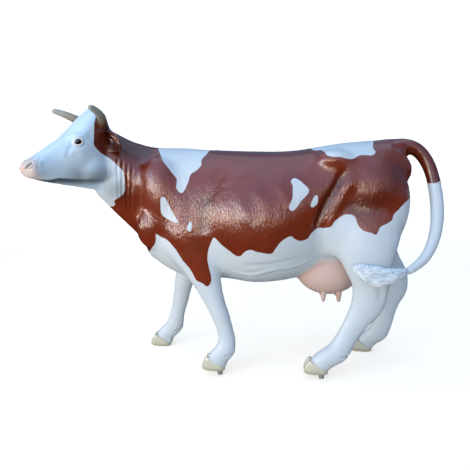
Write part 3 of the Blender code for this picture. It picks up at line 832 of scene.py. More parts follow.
# along the head and up: brow line, then jaw line; half width, height of the widest place, squareness
HEAD = (
    (-0.07, 1.53, -0.1, 1.24, 0.06, 0.6, 2.2, 2.0),
    (-0.04, 1.602, -0.055, 1.16, 0.088, 0.6, 2.3, 1.8),
    (0.0, 1.63, 0.0, 1.128, 0.103, 0.62, 2.5, 1.6),
    (0.045, 1.61, 0.05, 1.136, 0.112, 0.62, 2.6, 1.6),
    (0.095, 1.567, 0.105, 1.145, 0.116, 0.62, 2.6, 1.6),
    (0.145, 1.515, 0.155, 1.154, 0.113, 0.62, 2.6, 1.6),
    (0.195, 1.464, 0.205, 1.164, 0.098, 0.6, 2.5, 1.7),
    (0.245, 1.428, 0.25, 1.173, 0.085, 0.58, 2.4, 1.8),
    (0.3, 1.393, 0.3, 1.183, 0.077, 0.55, 2.3, 2.0),
    (0.35, 1.359, 0.345, 1.193, 0.075, 0.5, 2.3, 2.2),
    (0.395, 1.328, 0.39, 1.203, 0.081, 0.5, 2.4, 2.3),
    (0.43, 1.302, 0.422, 1.213, 0.078, 0.5, 2.4, 2.3),
    (0.45, 1.278, 0.441, 1.232, 0.052, 0.5, 2.2, 2.2),
)

# x, y away from the median plane, z, half depth fore and aft, half width across
LEFT_FORELEG = (
    (-0.33, 0.15, 0.98, 0.17, 0.08),
    (-0.27, 0.19, 0.82, 0.145, 0.085),
    (-0.2, 0.2, 0.7, 0.115, 0.075),
    (-0.155, 0.205, 0.6, 0.09, 0.062),
    (-0.122, 0.21, 0.51, 0.07, 0.053),
    (-0.094, 0.213, 0.44, 0.059, 0.049),
    (-0.07, 0.215, 0.38, 0.055, 0.047),
    (-0.049, 0.217, 0.32, 0.051, 0.037),
    (-0.034, 0.219, 0.26, 0.051, 0.036),
    (-0.03, 0.221, 0.21, 0.056, 0.041),
    (-0.04, 0.224, 0.165, 0.06, 0.046),
    (-0.066, 0.226, 0.134, 0.06, 0.045),
    (-0.092, 0.222, 0.096, 0.062, 0.048),
    (-0.098, 0.218, 0.066, 0.06, 0.046),
)
RIGHT_FORELEG = (
    (-0.3, 0.15, 0.98, 0.17, 0.08),
    (-0.29, 0.19, 0.82, 0.145, 0.085),
    (-0.31, 0.2, 0.69, 0.11, 0.075),
    (-0.345, 0.205, 0.58, 0.085, 0.062),
    (-0.374, 0.21, 0.49, 0.068, 0.053),
    (-0.392, 0.213, 0.41, 0.059, 0.049),
    (-0.404, 0.215, 0.35, 0.056, 0.046),
    (-0.418, 0.217, 0.29, 0.052, 0.037),
    (-0.434, 0.219, 0.23, 0.053, 0.037),
    (-0.444, 0.221, 0.185, 0.058, 0.042),
    (-0.462, 0.224, 0.14, 0.06, 0.046),
    (-0.5, 0.229, 0.1, 0.057, 0.045),
    (-0.53, 0.234, 0.06, 0.062, 0.048),
    (-0.538, 0.236, 0.03, 0.06, 0.046),
)
LEFT_HINDLEG = (
    (0.8, 0.13, 1.15, 0.19, 0.09),
    (0.79, 0.17, 0.98, 0.205, 0.105),
    (0.785, 0.205, 0.84, 0.19, 0.098),
    (0.795, 0.225, 0.73, 0.155, 0.082),
    (0.812, 0.225, 0.63, 0.118, 0.066),
    (0.815, 0.222, 0.55, 0.104, 0.056),
    (0.802, 0.22, 0.475, 0.098, 0.052),
    (0.766, 0.218, 0.405, 0.08, 0.047),
    (0.732, 0.218, 0.345, 0.069, 0.041),
    (0.7, 0.219, 0.285, 0.064, 0.039),
    (0.668, 0.221, 0.225, 0.066, 0.042),
    (0.638, 0.224, 0.175, 0.069, 0.047),
    (0.59, 0.226, 0.143, 0.064, 0.047),
    (0.545, 0.222, 0.106, 0.064, 0.05),
    (0.52, 0.218, 0.076, 0.06, 0.047),
)
RIGHT_HINDLEG = (
    (0.82, 0.13, 1.15, 0.19, 0.09),
    (0.83, 0.17, 0.98, 0.2, 0.105),
    (0.86, 0.205, 0.84, 0.18, 0.098),
    (0.92, 0.225, 0.72, 0.15, 0.082),
    (0.99, 0.225, 0.62, 0.118, 0.066),
    (1.045, 0.222, 0.54, 0.104, 0.056),
    (1.058, 0.22, 0.46, 0.092, 0.052),
    (1.036, 0.22, 0.385, 0.076, 0.046),
    (1.022, 0.222, 0.31, 0.064, 0.04),
    (1.01, 0.225, 0.245, 0.062, 0.039),
    (0.992, 0.23, 0.185, 0.066, 0.043),
    (0.97, 0.24, 0.135, 0.068, 0.047),
    (0.927, 0.25, 0.095, 0.06, 0.046),
    (0.895, 0.258, 0.055, 0.06, 0.048),
    (0.885, 0.262, 0.03, 0.056, 0.046),
)

# x, y, z, half thickness up and down, half thickness across
TAIL = (
    (0.9, 0.0, 1.385, 0.06, 0.06),
    (0.98, 0.0, 1.398, 0.048, 0.05),
    (1.05, -0.005, 1.395, 0.043, 0.044),
    (1.105, -0.012, 1.365, 0.041, 0.042),
    (1.15, -0.025, 1.305, 0.04, 0.04),
    (1.18, -0.045, 1.225, 0.039, 0.039),
    (1.197, -0.07, 1.13, 0.039, 0.039),
    (1.203, -0.1, 1.03, 0.039, 0.038),
    (1.192, -0.14, 0.93, 0.037, 0.036),
    (1.16, -0.185, 0.835, 0.034, 0.033),
    (1.105, -0.23, 0.755, 0.03, 0.03),
    (1.03, -0.272, 0.705, 0.026, 0.026),
    (0.97, -0.3, 0.685, 0.026, 0.026),
)
# ellipsoids: centre; radii; degrees that they pitch. On the head: ahead, out, up
HEAD_LUMPS = (
    # cheek, brow, wing of the nostril, root of the horn
    ((0.055, 0.062, 1.275), (0.085, 0.05, 0.105), 20),
    ((0.155, 0.076, 1.436), (0.042, 0.028, 0.026), 38),
    ((0.405, 0.052, 1.272), (0.034, 0.028, 0.034), 38),
    ((0.004, 0.075, 1.522), (0.038, 0.045, 0.038), 0),
)
# on both sides, but for those on the median plane
MUSCLES = (
    # shoulder blade, upper arm, point of the shoulder, breast, withers
    ((-0.415, -0.15, 1.08), (0.135, 0.085, 0.27), -14),
    ((-0.265, -0.205, 0.86), (0.13, 0.075, 0.165), 20),
    ((-0.505, -0.145, 0.9), (0.095, 0.085, 0.13), 0),
    ((-0.475, 0.0, 0.79), (0.085, 0.13, 0.12), 30),
    ((-0.38, -0.06, 1.31), (0.15, 0.065, 0.06), 0),
    # hook bone, pin bone, haunch, back of the thigh, front of the thigh
    ((0.585, -0.2, 1.315), (0.11, 0.06, 0.06), 0),
    ((0.975, -0.095, 1.255), (0.072, 0.055, 0.09), 0),
    ((0.8, -0.165, 1.13), (0.19, 0.105, 0.2), 0),
    ((0.9, -0.14, 1.02), (0.13, 0.11, 0.25), 8),
    ((0.64, -0.18, 0.93), (0.12, 0.095, 0.19), 18),
)
CLAW_OUT = 0.021  # from a foot's middle line to a claw's
UDDER = ((0.590, 0.0, 0.640), (0.205, 0.165, 0.165))  # centre, radii
TEATS = {"fore": (0.560, 0.075), "hind": (0.655, 0.070)}  # x and y away from the median plane
EYE = (0.166, 0.099, 1.418)  # along the head, out, up
EYE_RADIUS = 0.023
# tear duct: along the eye's slit, up and out
EYE_CORNER = ((0.022, -0.004, 0.013), (0.028, -0.008, 0.011), (0.034, -0.0125, 0.009), (0.039, -0.017, 0.007))


class Foot(Enum):
    """The middle of each hoof's sole, in the cow's own plan."""

    fore_left = (-0.092, -0.214, 0.038)
    fore_right = (-0.535, 0.236, 0.0)
    hind_left = (0.530, -0.214, 0.038)
    hind_right = (0.882, 0.262, 0.0)


# x and height of the middle of each fetlock
FETLOCKS = {
    "fore_left": (-0.036, 0.172),
    "fore_right": (-0.452, 0.150),
    "hind_left": (0.652, 0.188),
    "hind_right": (0.980, 0.150),
}


# ------------------------------------------------------------------ the skin


@dataclass
class Flesh:
    """The body without horns, ears and hooves, as one seamless surface.

    Attributes:
        voxel: cell of the first, even surface.
        broad_rounds: smoothing of the trunk.
        fine_rounds: smoothing of the whole.
        clay: what is laid before the skin is drawn.
    """

    voxel: float = 0.0130
    broad_rounds: int = 51
    fine_rounds: int = 6
    clay: Clay = field(default_factory=Clay)

    def trunk(self) -> None:
        """Lays the trunk's sections."""
        across = Vector((0, -1, 0))
        rings = []
        for x, top, bottom, width, widest, above, below in through(TRUNK, 60):
            high, low = Vector((x, 0, top)), Vector((x, 0, bottom))
            rings.append(self.clay.ring(high, low, across, width, widest, above, below))
        self.clay.loft(rings)

    def neck(self) -> None:
        """Lays the neck's sections, which turn with the head."""
        rings = []
        rows = through(NECK, 26)
        for i, (crest_x, crest_z, throat_x, throat_z, y, width) in enumerate(rows):
            yaw = HEAD_YAW * (i / (len(rows) - 1)) ** 1.2
            across = Vector((math.sin(yaw), -math.cos(yaw), 0))
            crest, throat = Vector((crest_x, y, crest_z)), Vector((throat_x, y, throat_z))
            rings.append(self.clay.ring(crest, throat, across, width, 0.52, 1.8, 1.8))
        self.clay.loft(rings)

    def head(self) -> None:
        """Lays the head's sections, cheeks, brows, nostril wings and horn roots."""
        rings = []
        for brow_s, brow_z, jaw_s, jaw_z, width, widest, above, below in through(HEAD, 44):
            brow, jaw = on_head(brow_s, 0, brow_z), on_head(jaw_s, 0, jaw_z)
            rings.append(self.clay.ring(brow, jaw, HEAD_LEFT, width, widest, above, below))
        self.clay.loft(rings)
        for side in (LEFT, RIGHT):
            for (ahead, out, up), radii, pitch in HEAD_LUMPS:
                self.clay.ball(on_head(ahead, out * side, up), radii, pitch, math.degrees(HEAD_YAW))

    def muscles(self) -> None:
        """Adds the muscles and bones that show, the udder, and each foot's heels and dewclaws."""
        for (x, y, z), radii, pitch in MUSCLES:
            for across in (1, -1) if y else (1,):
                self.clay.ball((x, y * across, z), radii, pitch)
        self.clay.ball(*UDDER)
        for foot in Foot:
            x, y, z = foot.value
            fetlock_x, fetlock_z = FETLOCKS[foot.name]
            for side in (-1, 1):
                out = y + side * CLAW_OUT
                self.clay.ball((x + 0.032, out, z + 0.036), (0.034, 0.025, 0.030), 20)
                self.clay.ball((fetlock_x + 0.040, out, fetlock_z - 0.006), (0.020, 0.016, 0.023), -25)

    def broad_share(self, points: Array) -> Array:
        """Finds how far the broad smoothing works: fully on the trunk, not on head, feet and tail.

        Args:
            points: The clay's points.

        Returns:
            A share from 0 to 1 for each point.
        """
        behind_head = (points[:, 0] + 0.74) / 0.16
        above_legs = (points[:, 2] - 0.58) / 0.12
        before_tail = (1.02 - points[:, 0]) / 0.06
        return np.clip(np.minimum(np.minimum(behind_head, above_legs), before_tail), 0, 1)

    def joined(self) -> Thing:
        """Joins the clay into one smoothed surface.

        Returns:
            The surface.
        """
        self.trunk()
        self.neck()
        self.head()
        self.muscles()
        for left_leg, right_leg in ((LEFT_FORELEG, RIGHT_FORELEG), (LEFT_HINDLEG, RIGHT_HINDLEG)):
            self.clay.limb(left_leg, LEFT)
            self.clay.limb(right_leg, RIGHT)
        self.clay.limb(TAIL)
        made = from_bmesh(self.clay.mesh, "cow_skin")
        skin = made.modifiers.new("skin", "REMESH")
        skin.mode = "VOXEL"
        skin.voxel_size = self.voxel
        apply_modifiers(made)
        broad = made.vertex_groups.new(name="broad")
        for i, share in enumerate(self.broad_share(points_of(made))):
            broad.add([i], share, "REPLACE")
        smooth_more(made, self.broad_rounds, "broad")
        smooth_more(made, self.fine_rounds)
        made.vertex_groups.clear()
        return made


def smooth_more(thing: Thing, rounds: int, group: str = "") -> None:
    """Relaxes the surface.

    Args:
        thing: The surface.
        rounds: How many times.
        group: The vertex group it works in, or none for all over.
    """
    smooth = thing.modifiers.new("smooth", "SMOOTH")
    smooth.factor = 0.5
    smooth.iterations = rounds
    smooth.vertex_group = group
    apply_modifiers(thing)


def refine(thing: Thing, near: Array, rounds: int = 2) -> None:
    """Halves the faces of a region, and relaxes it.

    Args:
        thing: the piece.
        near: true for each point of the region.
        rounds: of smoothing.
    """
    before = len(thing.data.vertices)
    chosen = np.array([near[list(face.vertices)].all() for face in thing.data.polygons])
    bpy.context.tool_settings.mesh_select_mode = (False, False, True)
    thing.data.vertices.foreach_set("select", np.zeros(before, bool))
    thing.data.edges.foreach_set("select", np.zeros(len(thing.data.edges), bool))
    thing.data.polygons.foreach_set("select", chosen)
    pick_only(thing)
    bpy.ops.object.mode_set(mode="EDIT")
    bpy.ops.mesh.subdivide(number_cuts=1, smoothness=0.0)
    bpy.ops.object.mode_set(mode="OBJECT")
    region = thing.vertex_groups.new(name="region")
    inside = np.unique([i for face in thing.data.polygons if face.select for i in face.vertices])
    region.add([int(i) for i in inside], 1.0, "REPLACE")
    smooth_more(thing, rounds, "region")
    thing.vertex_groups.clear()
    LOG.info("refined %d faces: %d", chosen.sum(), len(thing.data.polygons))


def head_places(points: Array) -> Array:
    """Measures points in the head's own directions.

    Args:
        points: Points in the cow's own plan.

    Returns:
        How far each lies along, out to the cow's left, and up from the floor.
    """
    off = points - np.array(HEAD_PLACE)
    along = off @ np.array(AHEAD)
    out = off @ np.array(HEAD_LEFT)
    return np.stack([along, out, points[:, 2] + out * HEAD_TILT], axis=1)


def eye_axes(side: int) -> tuple[Vector, Vector, Vector]:
    """Finds how an eye's slit lies.

    Args:
        side: 1 on the left, -1 on the right.

    Returns:
        The directions along the slit, across it upwards, and out of the head.
    """
    outward = (HEAD_LEFT * side * 0.90 + AHEAD * 0.28 + UP * 0.10).normalized()
    lengthwise = AHEAD * math.cos(0.33) - UP * math.sin(0.33)
    lengthwise = (lengthwise - outward * lengthwise.dot(outward)).normalized()
    upward = outward.cross(lengthwise)
    return lengthwise, upward if upward.z > 0 else -upward, outward


def ramp(values: Array, start: float, end: float) -> Array:
    """Returns 0 as far as start, 1 past end and even steps between; end may be the lower of the two."""
    return np.clip((values - start) / (end - start), 0, 1)


def bell(values: Array, middle: float, width: float) -> Array:
    """Returns 1 at the middle, falling softly to both sides."""
    return np.exp(-(((values - middle) / width) ** 2))


def eased(share: Array) -> Array:
    """Softens both ends of a run from 0 to 1."""
    return share * share * (3 - 2 * share)


def as_array(vector: Vector) -> Array:
    """Returns the vector as an array."""
    return np.array(tuple(vector))


def tear_duct(side: int) -> list[tuple[float, ...]]:
    """Draws the line from the inner corner of an eye.

    Args:
        side: 1 on the left, -1 on the right.

    Returns:
        The line's points, in the cow's own plan.
    """
    centre = on_head(EYE[0], EYE[1] * side, EYE[2])
    lengthwise, upward, outward = eye_axes(side)
    return [tuple(centre + lengthwise * a + upward * b + outward * c) for a, b, c in EYE_CORNER]


@dataclass
class Features:
    """What the sculptor's tools add to the skin once it is fine enough.

    Attributes:
        skin: the joined clay.
        face_white: how far each point lies inside the white of the face.
        points: of the skin, once it has its shape.
        places: the same in the head's directions.
        jaw_inset: how far the lower jaw stands in under the cheek.
        nostril_width: half the width of a nostril.
        lid_half: half the length of the eye's opening.
        lid_top: height of the opening above the eye's middle.
        lid_bottom: depth of the opening below it.
    """

    skin: Thing
    face_white: Array = field(init=False)
    points: Array = field(init=False)
    places: Array = field(init=False)
    jaw_inset: float = 0.023
    nostril_width: float = 0.0105
    lid_half: float = 0.0255
    lid_top: float = 0.0195
    lid_bottom: float = 0.0175

    def outline_face(self) -> None:
        """Lays the white of the face on the skin before the folds are carved."""
        places = head_places(points_of(self.skin))
        self.face_white = inside_by(places[:, [0, 2]], FACE_WHITE)

    def refine_regions(self) -> None:
        """Halves the faces of the head and feet, and again those of the eyes, nostrils and mouth."""
        x, y, z = points_of(self.skin).T
        ahead = head_places(points_of(self.skin))[:, 0]
        head = (ahead > -0.10) & (z > 1.00)
        neck = (x < -0.59) & (z > 0.98) & (z < 1.32) & (y < -0.02)
        refine(self.skin, head | neck | (z < 0.20))
        ahead, out, height = head_places(points_of(self.skin)).T
        eye = (np.hypot(ahead - EYE[0], height - EYE[2]) < 0.060) & (np.abs(out) > 0.05) & (ahead > 0)
        refine(self.skin, eye | (ahead > 0.33) | ((ahead > 0.22) & (height < 1.25)))
        ahead, out, height = head_places(points_of(self.skin)).T
        eye = np.hypot(ahead - EYE[0], height - EYE[2]) < 0.042
        refine(self.skin, eye & (np.abs(out) > 0.07) & (ahead > 0))

    def body(self) -> None:
        """Works the trunk's bones, muscles and folds, and the folds under the dewclaws."""
        tools = Sculptor(self.skin)
        for side in (LEFT, RIGHT):
            for path, width, depth, bank in BODY_LINES:
                tools.groove(tools.laid_on_body(path, side), width, depth, bank)
            for (x, out, z), radii, height in BODY_SWELLINGS:
                tools.swell((x, -out * side, z), radii, height)
        for foot in Foot:
            x, z = FETLOCKS[foot.name]
            for side in (-1, 1):
                fold = [(x + a, foot.value[1] + b * side, z + c) for a, b, c in FETLOCK_FOLD]
                tools.groove(fold, 0.008, 0.010, 0.25)
        tools.write()

    def locks(self) -> None:
        """Combs broad locks of hair into the coat."""
        tools = Sculptor(self.skin)
        height = np.zeros(len(tools.points))
        for i, (x, y, z) in enumerate(tools.points):
            bent = noise.noise((x * 3, y * 3, z * 3)) * 0.6
            height[i] = noise.noise((x * 38 + bent * 3, y * 38, z * 9))
        haired = ramp(tools.points[:, 2], 0.55, 0.75) * ramp(head_places(tools.points)[:, 0], -0.02, -0.12)
        patches = np.array([noise.noise((x * 4 + 7, y * 4, z * 4)) for x, y, z in tools.points])
        share = haired * np.clip(patches * 2 + 0.4, 0.12, 1.0)
        tools.points += tools.normals * (0.0013 * share * height)[:, None]
        tools.write()

    def face(self) -> None:
        """Works the bones of the face, the mouth and the folds behind the jaw."""
        tools = Sculptor(self.skin)
        for side in (LEFT, RIGHT):
            axes = (AHEAD, HEAD_LEFT * side, UP)
            for (ahead, out, up), radii, height in FACE_SWELLINGS:
                tools.swell(on_head(ahead, out * side, up), radii, height, axes)
            for path, width, depth, bank in FACE_LINES:
                tools.groove([tuple(on_head(s, a * side, z)) for s, a, z in path], width, depth, bank)
            if side == LEFT:
                for path, width, depth, bank in NECK_FOLDS:
                    tools.groove(tools.laid_on_body(path, LEFT), width, depth, bank)
        tools.write()
        tools.points -= self.under_jaw(tools.points)
        tools.write()
        for side in (LEFT, RIGHT):
            for path, width, depth, bank in MOUTH_LINES:
                tools.groove(tools.laid_on_face(path, side), width, depth, bank)
        tools.write()

    def under_jaw(self, points: Array) -> Array:
        """Sets the lower jaw in under the cheek.

        Args:
            points: The skin's points.

        Returns:
            The move of each point.
        """
        ahead, out, height = head_places(points).T
        ledge = np.interp(ahead, *LEDGE)
        below = eased(np.clip((ledge - height) / 0.010, 0, 1))
        along = ramp(ahead, -0.05, 0.01) * ramp(ahead, 0.298, 0.268) * ramp(height, 1.095, 1.145)
        inward = np.clip(np.abs(out) / 0.05, 0, 1) * np.sign(out)
        return (self.jaw_inset * below * along * inward)[:, None] * as_array(HEAD_LEFT)

    def off_nostril(self, points: Array, side: int) -> tuple[Array, Array]:
        """Measures points against a nostril, a teardrop that points down to the lips.

        Args:
            points: of the skin.
            side: LEFT or RIGHT.

        Returns:
            The distance to its edge, below zero inside, and how low the point lies across it, from -1 to 1.
        """
        rear, front = (on_head(s, a * side, z) for s, a, z in NOSTRIL)
        along = (rear - front).normalized()
        half = (rear - front).length / 2
        outward = (AHEAD * 0.55 + HEAD_LEFT * side * 0.80 + UP * 0.10).normalized()
        outward = (outward - along * outward.dot(along)).normalized()
        across = along.cross(outward)
        across = across if across.z < 0 else -across
        off = points - as_array((rear + front) / 2)
        u = off @ as_array(along) / half
        v = off @ as_array(across)
        reach = off @ as_array(outward)
        width = self.nostril_width * np.sqrt(np.clip(1 - u**2, 0, None)) * (1 + 0.45 * u)
        past = (np.abs(u) - 1) * half
        within = np.where(past > 0, np.hypot(past, v), np.abs(v) - width)
        within = np.where(np.abs(reach) < 0.035, within, 1.0)
        return within, v / self.nostril_width

    def nostrils(self) -> None:
        """Opens a slanting nostril on each side, with a raised rim."""
        tools = Sculptor(self.skin)
        for side in (LEFT, RIGHT):
            within, _ = self.off_nostril(tools.points, side)
            rise = 0.0042 * bell(within, 0.0045, 0.0042) - 0.014 * np.clip(-within / 0.007, 0, 1)
            tools.points += tools.normals * rise[:, None]
        tools.write()

    def lids(self) -> None:
        """Closes the skin round each eyeball: an almond opening between two rolled lids."""
        tools = Sculptor(self.skin)
        for side in (LEFT, RIGHT):
            lengthwise, upward, outward = eye_axes(side)
            off = tools.points - as_array(on_head(EYE[0], EYE[1] * side, EYE[2]))
            along, rise, reach = (off @ as_array(axis) for axis in (lengthwise, upward, outward))
            span = np.clip(1 - (along / self.lid_half) ** 2, 0, None) ** 0.6
            distance = np.where(rise > 0, rise - self.lid_top * span, -self.lid_bottom * span - rise)
            past_corner = np.abs(along) - self.lid_half
            distance = np.where(past_corner > 0, np.hypot(past_corner, rise), distance)
            ball = np.sqrt(np.clip(EYE_RADIUS**2 - along**2 - rise**2, 0, None))
            lid = ball + 0.0005 + 0.0042 * bell(distance, 0.0035, 0.0038)
            socket = reach - 0.004 * bell(distance, 0.014, 0.006)
            mix = eased(ramp(distance, 0.004, 0.014))
            target = np.where(distance < 0, np.minimum(reach, ball - 0.006), lid * (1 - mix) + socket * mix)
            near = (reach > -0.01) & (np.hypot(along, rise) < 0.060)
            tools.points += np.where(near, target - reach, 0.0)[:, None] * as_array(outward)
            tools.groove(tear_duct(side), 0.0034, 0.0040, 0.3)
        tools.write()

    def paint(self) -> None:
        """Marks where each colour of the coat lies, where shade and the sky's light on the face are painted,
        and how deep its hair is.
        """
        self.points = points_of(self.skin)
        self.places = head_places(self.points)
        white, udder = self.whiteness(), self.udder()
        marks = {
            "white_by": white,
            "udder_by": udder,
            "blush_by": self.blush(),
            "grey_by": self.grey(),
            # painted shade, and below it the painted bluer white of the sky's light on the face
            "painted_shade_by": self.painted_shade_share(white),
            "skylight_tint_by": self.painted_skylight(),
            "relief_by": self.combed() * (1 - 0.9 * udder),
        }
        for name, values in marks.items():
            set_attribute(self.skin, name, values)

    def whiteness(self) -> Array:
        """Parts the white from the red.

        Returns:
            How far each point lies inside the white, below zero in the red.
        """
        white = np.full(len(self.points), -1.0)
        for mask, outlines in ((self.points[:, 1] < 0, LEFT_WHITE), (self.points[:, 1] >= 0, RIGHT_WHITE)):
            flat = self.points[mask][:, [0, 2]]
            white[mask] = np.max([inside_by(flat, outline) for outline in outlines], axis=0)
        return np.maximum(white, self.face_white)

    def udder(self) -> Array:
        """Marks the udder.

        Returns:
            How far each point belongs to it.
        """
        off = (self.points - np.array(UDDER[0])) / (np.array(UDDER[1]) * (1.0, 1.0, 1.05))
        share = ramp(np.linalg.norm(off, axis=1), 1.15, 1.10) * ramp(self.points[:, 2], 0.735, 0.705)
        return share * ramp(np.abs(self.points[:, 1]), 0.205, 0.185)

    def blush(self) -> Array:
        """Marks the pink on the muzzle, the lips and the skin round the eyes.

        Returns:
            The share of pink at each point.
        """
        ahead, out, height = self.places.T
        nose = 0.42 * ramp(ahead, 0.375, 0.420)
        tip = 0.85 * ramp(ahead, 0.437, 0.449)
        lips = 0.70 * ramp(ahead, 0.34, 0.40) * ramp(height, 1.228, 1.208)
        off_eye = np.hypot((ahead - EYE[0]) * 0.9, height - EYE[2])
        lids = 0.35 * ramp(off_eye, 0.033, 0.023) * (np.abs(out) > 0.07) * (ahead > 0)
        return np.max([nose, tip, lips, lids], axis=0)

    def grey(self) -> Array:
        """Marks the painted shade inside the nostrils, darkest under their upper edge, and the grey along the
        tear ducts.

        Returns:
            The share of grey at each point.
        """
        deep = np.zeros(len(self.points))
        tools = Sculptor(self.skin)
        for side in (LEFT, RIGHT):
            within, low = self.off_nostril(self.points, side)
            # painted shade in the nostril, darkest under its upper edge
            deep = np.maximum(deep, ramp(within, 0.001, -0.004) * (0.95 - 0.75 * np.clip(low * 1.4, 0, 1)))
            off, along = tools.off_path(np.array(tear_duct(side)))
            deep = np.maximum(deep, 0.8 * bell(off, 0.0, 0.0034) * np.clip((1 - along) * 3, 0, 1))
        return deep

    def painted_skylight(self) -> Array:
        """Returns the share of the face's painted skylight, a bluer white, which stops at the muzzle."""
        ahead = self.places[:, 0]
        return 0.85 * ramp(ahead, -0.10, 0.0) * ramp(self.points[:, 2], 1.05, 1.15) * ramp(ahead, 0.41, 0.35)

    def combed(self) -> Array:
        """Marks where the hair is deep: on the flank, and shallow on head, legs and tail.

        Returns:
            The share of its full depth at each point.
        """
        x, _, z = self.points.T
        depth = np.interp(z - 0.10 * ramp(x, 0.45, 0.65), *HAIR_DEPTH)
        head = ramp(self.places[:, 0], -0.14, -0.06) * (z > 1.0) * ramp(x, -0.66, -0.74)
        depth = depth * (1 - head) + 0.22 * head
        return depth * (1 - 0.7 * ramp(x, 0.99, 1.04)) * (1 - 0.9 * ramp(self.places[:, 0], 0.36, 0.40))

    def painted_shade_share(self, white: Array) -> Array:
        """Finds where shade is painted: a shadow under the cheek's ledge, shade on the lower cheek, the
        throat and the folds, and darker red along the topline, tail and thigh.

        Args:
            white: distance inside the white, below zero in the red.

        Returns:
            The share of shade at each point.
        """
        ahead, _, height = self.places.T
        # painted shadow in a band under the cheek's ledge, and painted shade on the lower cheek and the
        # throat
        under = np.interp(ahead, *LEDGE) - height
        soft = np.interp(ahead, (-0.03, 0.06, 0.20), (0.024, 0.014, 0.007))
        band = np.clip((under + soft * 0.3) / soft, 0, 1) * (1 - 0.90 * ramp(under, 0.020, 0.050))
        band *= np.interp(ahead, (-0.05, 0.0, 0.10, 0.24), (0.35, 0.70, 0.84, 0.92))
        cheek = 0.56 * bell(under, -0.004, 0.060) * (under < 0.03) * ramp(ahead, 0.27, 0.15)
        shade = np.maximum(band, cheek) * ramp(height, 1.10, 1.14)
        shade *= ramp(ahead, -0.06, 0.0) * ramp(ahead, 0.405, 0.345)
        shade = np.maximum(shade, 0.52 * bell(ahead, -0.055, 0.055) * bell(height, 1.14, 0.075))
        tools = Sculptor(self.skin)
        # painted shade along the folds of the head and body
        strokes = []
        for side in (LEFT, RIGHT):
            for path, width, share in HEAD_SHADES:
                strokes.append((tools.laid_on_face(path, side), width, share, 5))
            for path, width, share in BODY_SHADES:
                strokes.append(([(x, -y * side, z) for x, y, z in path], width, share, 4))
        for path, width, share, ends in strokes:
            off, along = tools.off_path(through(path, 24))
            fade = np.clip(np.minimum(along, 1 - along) * ends + 0.1, 0, 1)
            shade = np.maximum(shade, share * fade * bell(off, 0.0, width))
        # painted shade that darkens the red on the neck's crest, the spine, the tail and the thigh
        for path, width, share in TOP_SHADES:
            off, along = tools.off_path(through(path, 24))
            fade = np.clip((1 - along) * 5 + 0.1, 0, 1)
            shade = np.maximum(shade, share * fade * bell(off, 0.0, width) * (white < 0))
        return shade


# the cheek's lower edge, along the head, and its height
LEDGE = (
    (-0.05, 0.0, 0.08, 0.16, 0.22, 0.272, 0.3, 0.33, 0.37),
    (1.232, 1.214, 1.209, 1.208, 1.212, 1.215, 1.207, 1.204, 1.207),
)

# painted shade on the lower jaw under the lips, on the throat and behind the cheek: path along the head, out
# and up; width; share
HEAD_SHADES = (
    (((0.3, 0.05, 1.203), (0.33, 0.048, 1.2), (0.385, 0.048, 1.204)), 0.007, 0.8),
    (((-0.07, 0.1, 1.18), (-0.05, 0.095, 1.13), (-0.01, 0.07, 1.09)), 0.05, 0.22),
    (((0.03, 0.11, 1.37), (0.0, 0.115, 1.31), (-0.03, 0.11, 1.25), (-0.045, 0.1, 1.18)), 0.03, 0.16),
)
# painted shade in the flank fold, behind the elbow and on the back of the thigh: path of x, y away from the
# median plane, z; width; share
BODY_SHADES = (
    (((0.645, 0.24, 1.27), (0.6, 0.258, 1.18), (0.544, 0.271, 1.079), (0.505, 0.274, 0.99),
     (0.47, 0.27, 0.9)), 0.026, 0.72),
    (((-0.1, 0.245, 1.15), (-0.14, 0.26, 1.06), (-0.15, 0.275, 0.97), (-0.145, 0.285, 0.85)), 0.04, 0.45),
    (((0.98, 0.05, 1.32), (0.99, 0.05, 1.2), (0.98, 0.04, 1.05), (0.95, 0.03, 0.9)), 0.05, 0.4),
)
# painted shade: darker red along the neck's crest, the spine, the tail and the thigh; in the cow's own plan
TOP_SHADES = (
    (((-0.82, -0.16, 1.5), (-0.74, -0.12, 1.44), (-0.64, -0.09, 1.39), (-0.54, -0.08, 1.36),
     (-0.46, -0.08, 1.34)), 0.12, 0.66),
    (((-0.14, -0.05, 1.38), (0.1, -0.06, 1.37), (0.3, -0.06, 1.37), (0.5, -0.06, 1.38),
     (0.7, -0.05, 1.4)), 0.09, 0.45),
    (((1.02, 0.0, 1.37), (1.08, -0.01, 1.36), (1.15, -0.03, 1.29), (1.19, -0.06, 1.18), (1.21, -0.08, 1.1),
     (1.22, -0.1, 1.0)), 0.055, 0.62),
    (((0.95, -0.18, 1.26), (0.88, -0.22, 1.17), (0.82, -0.25, 1.08), (0.72, -0.25, 1.04), (0.6, -0.25, 1.0)),
     0.075, 0.42),
)

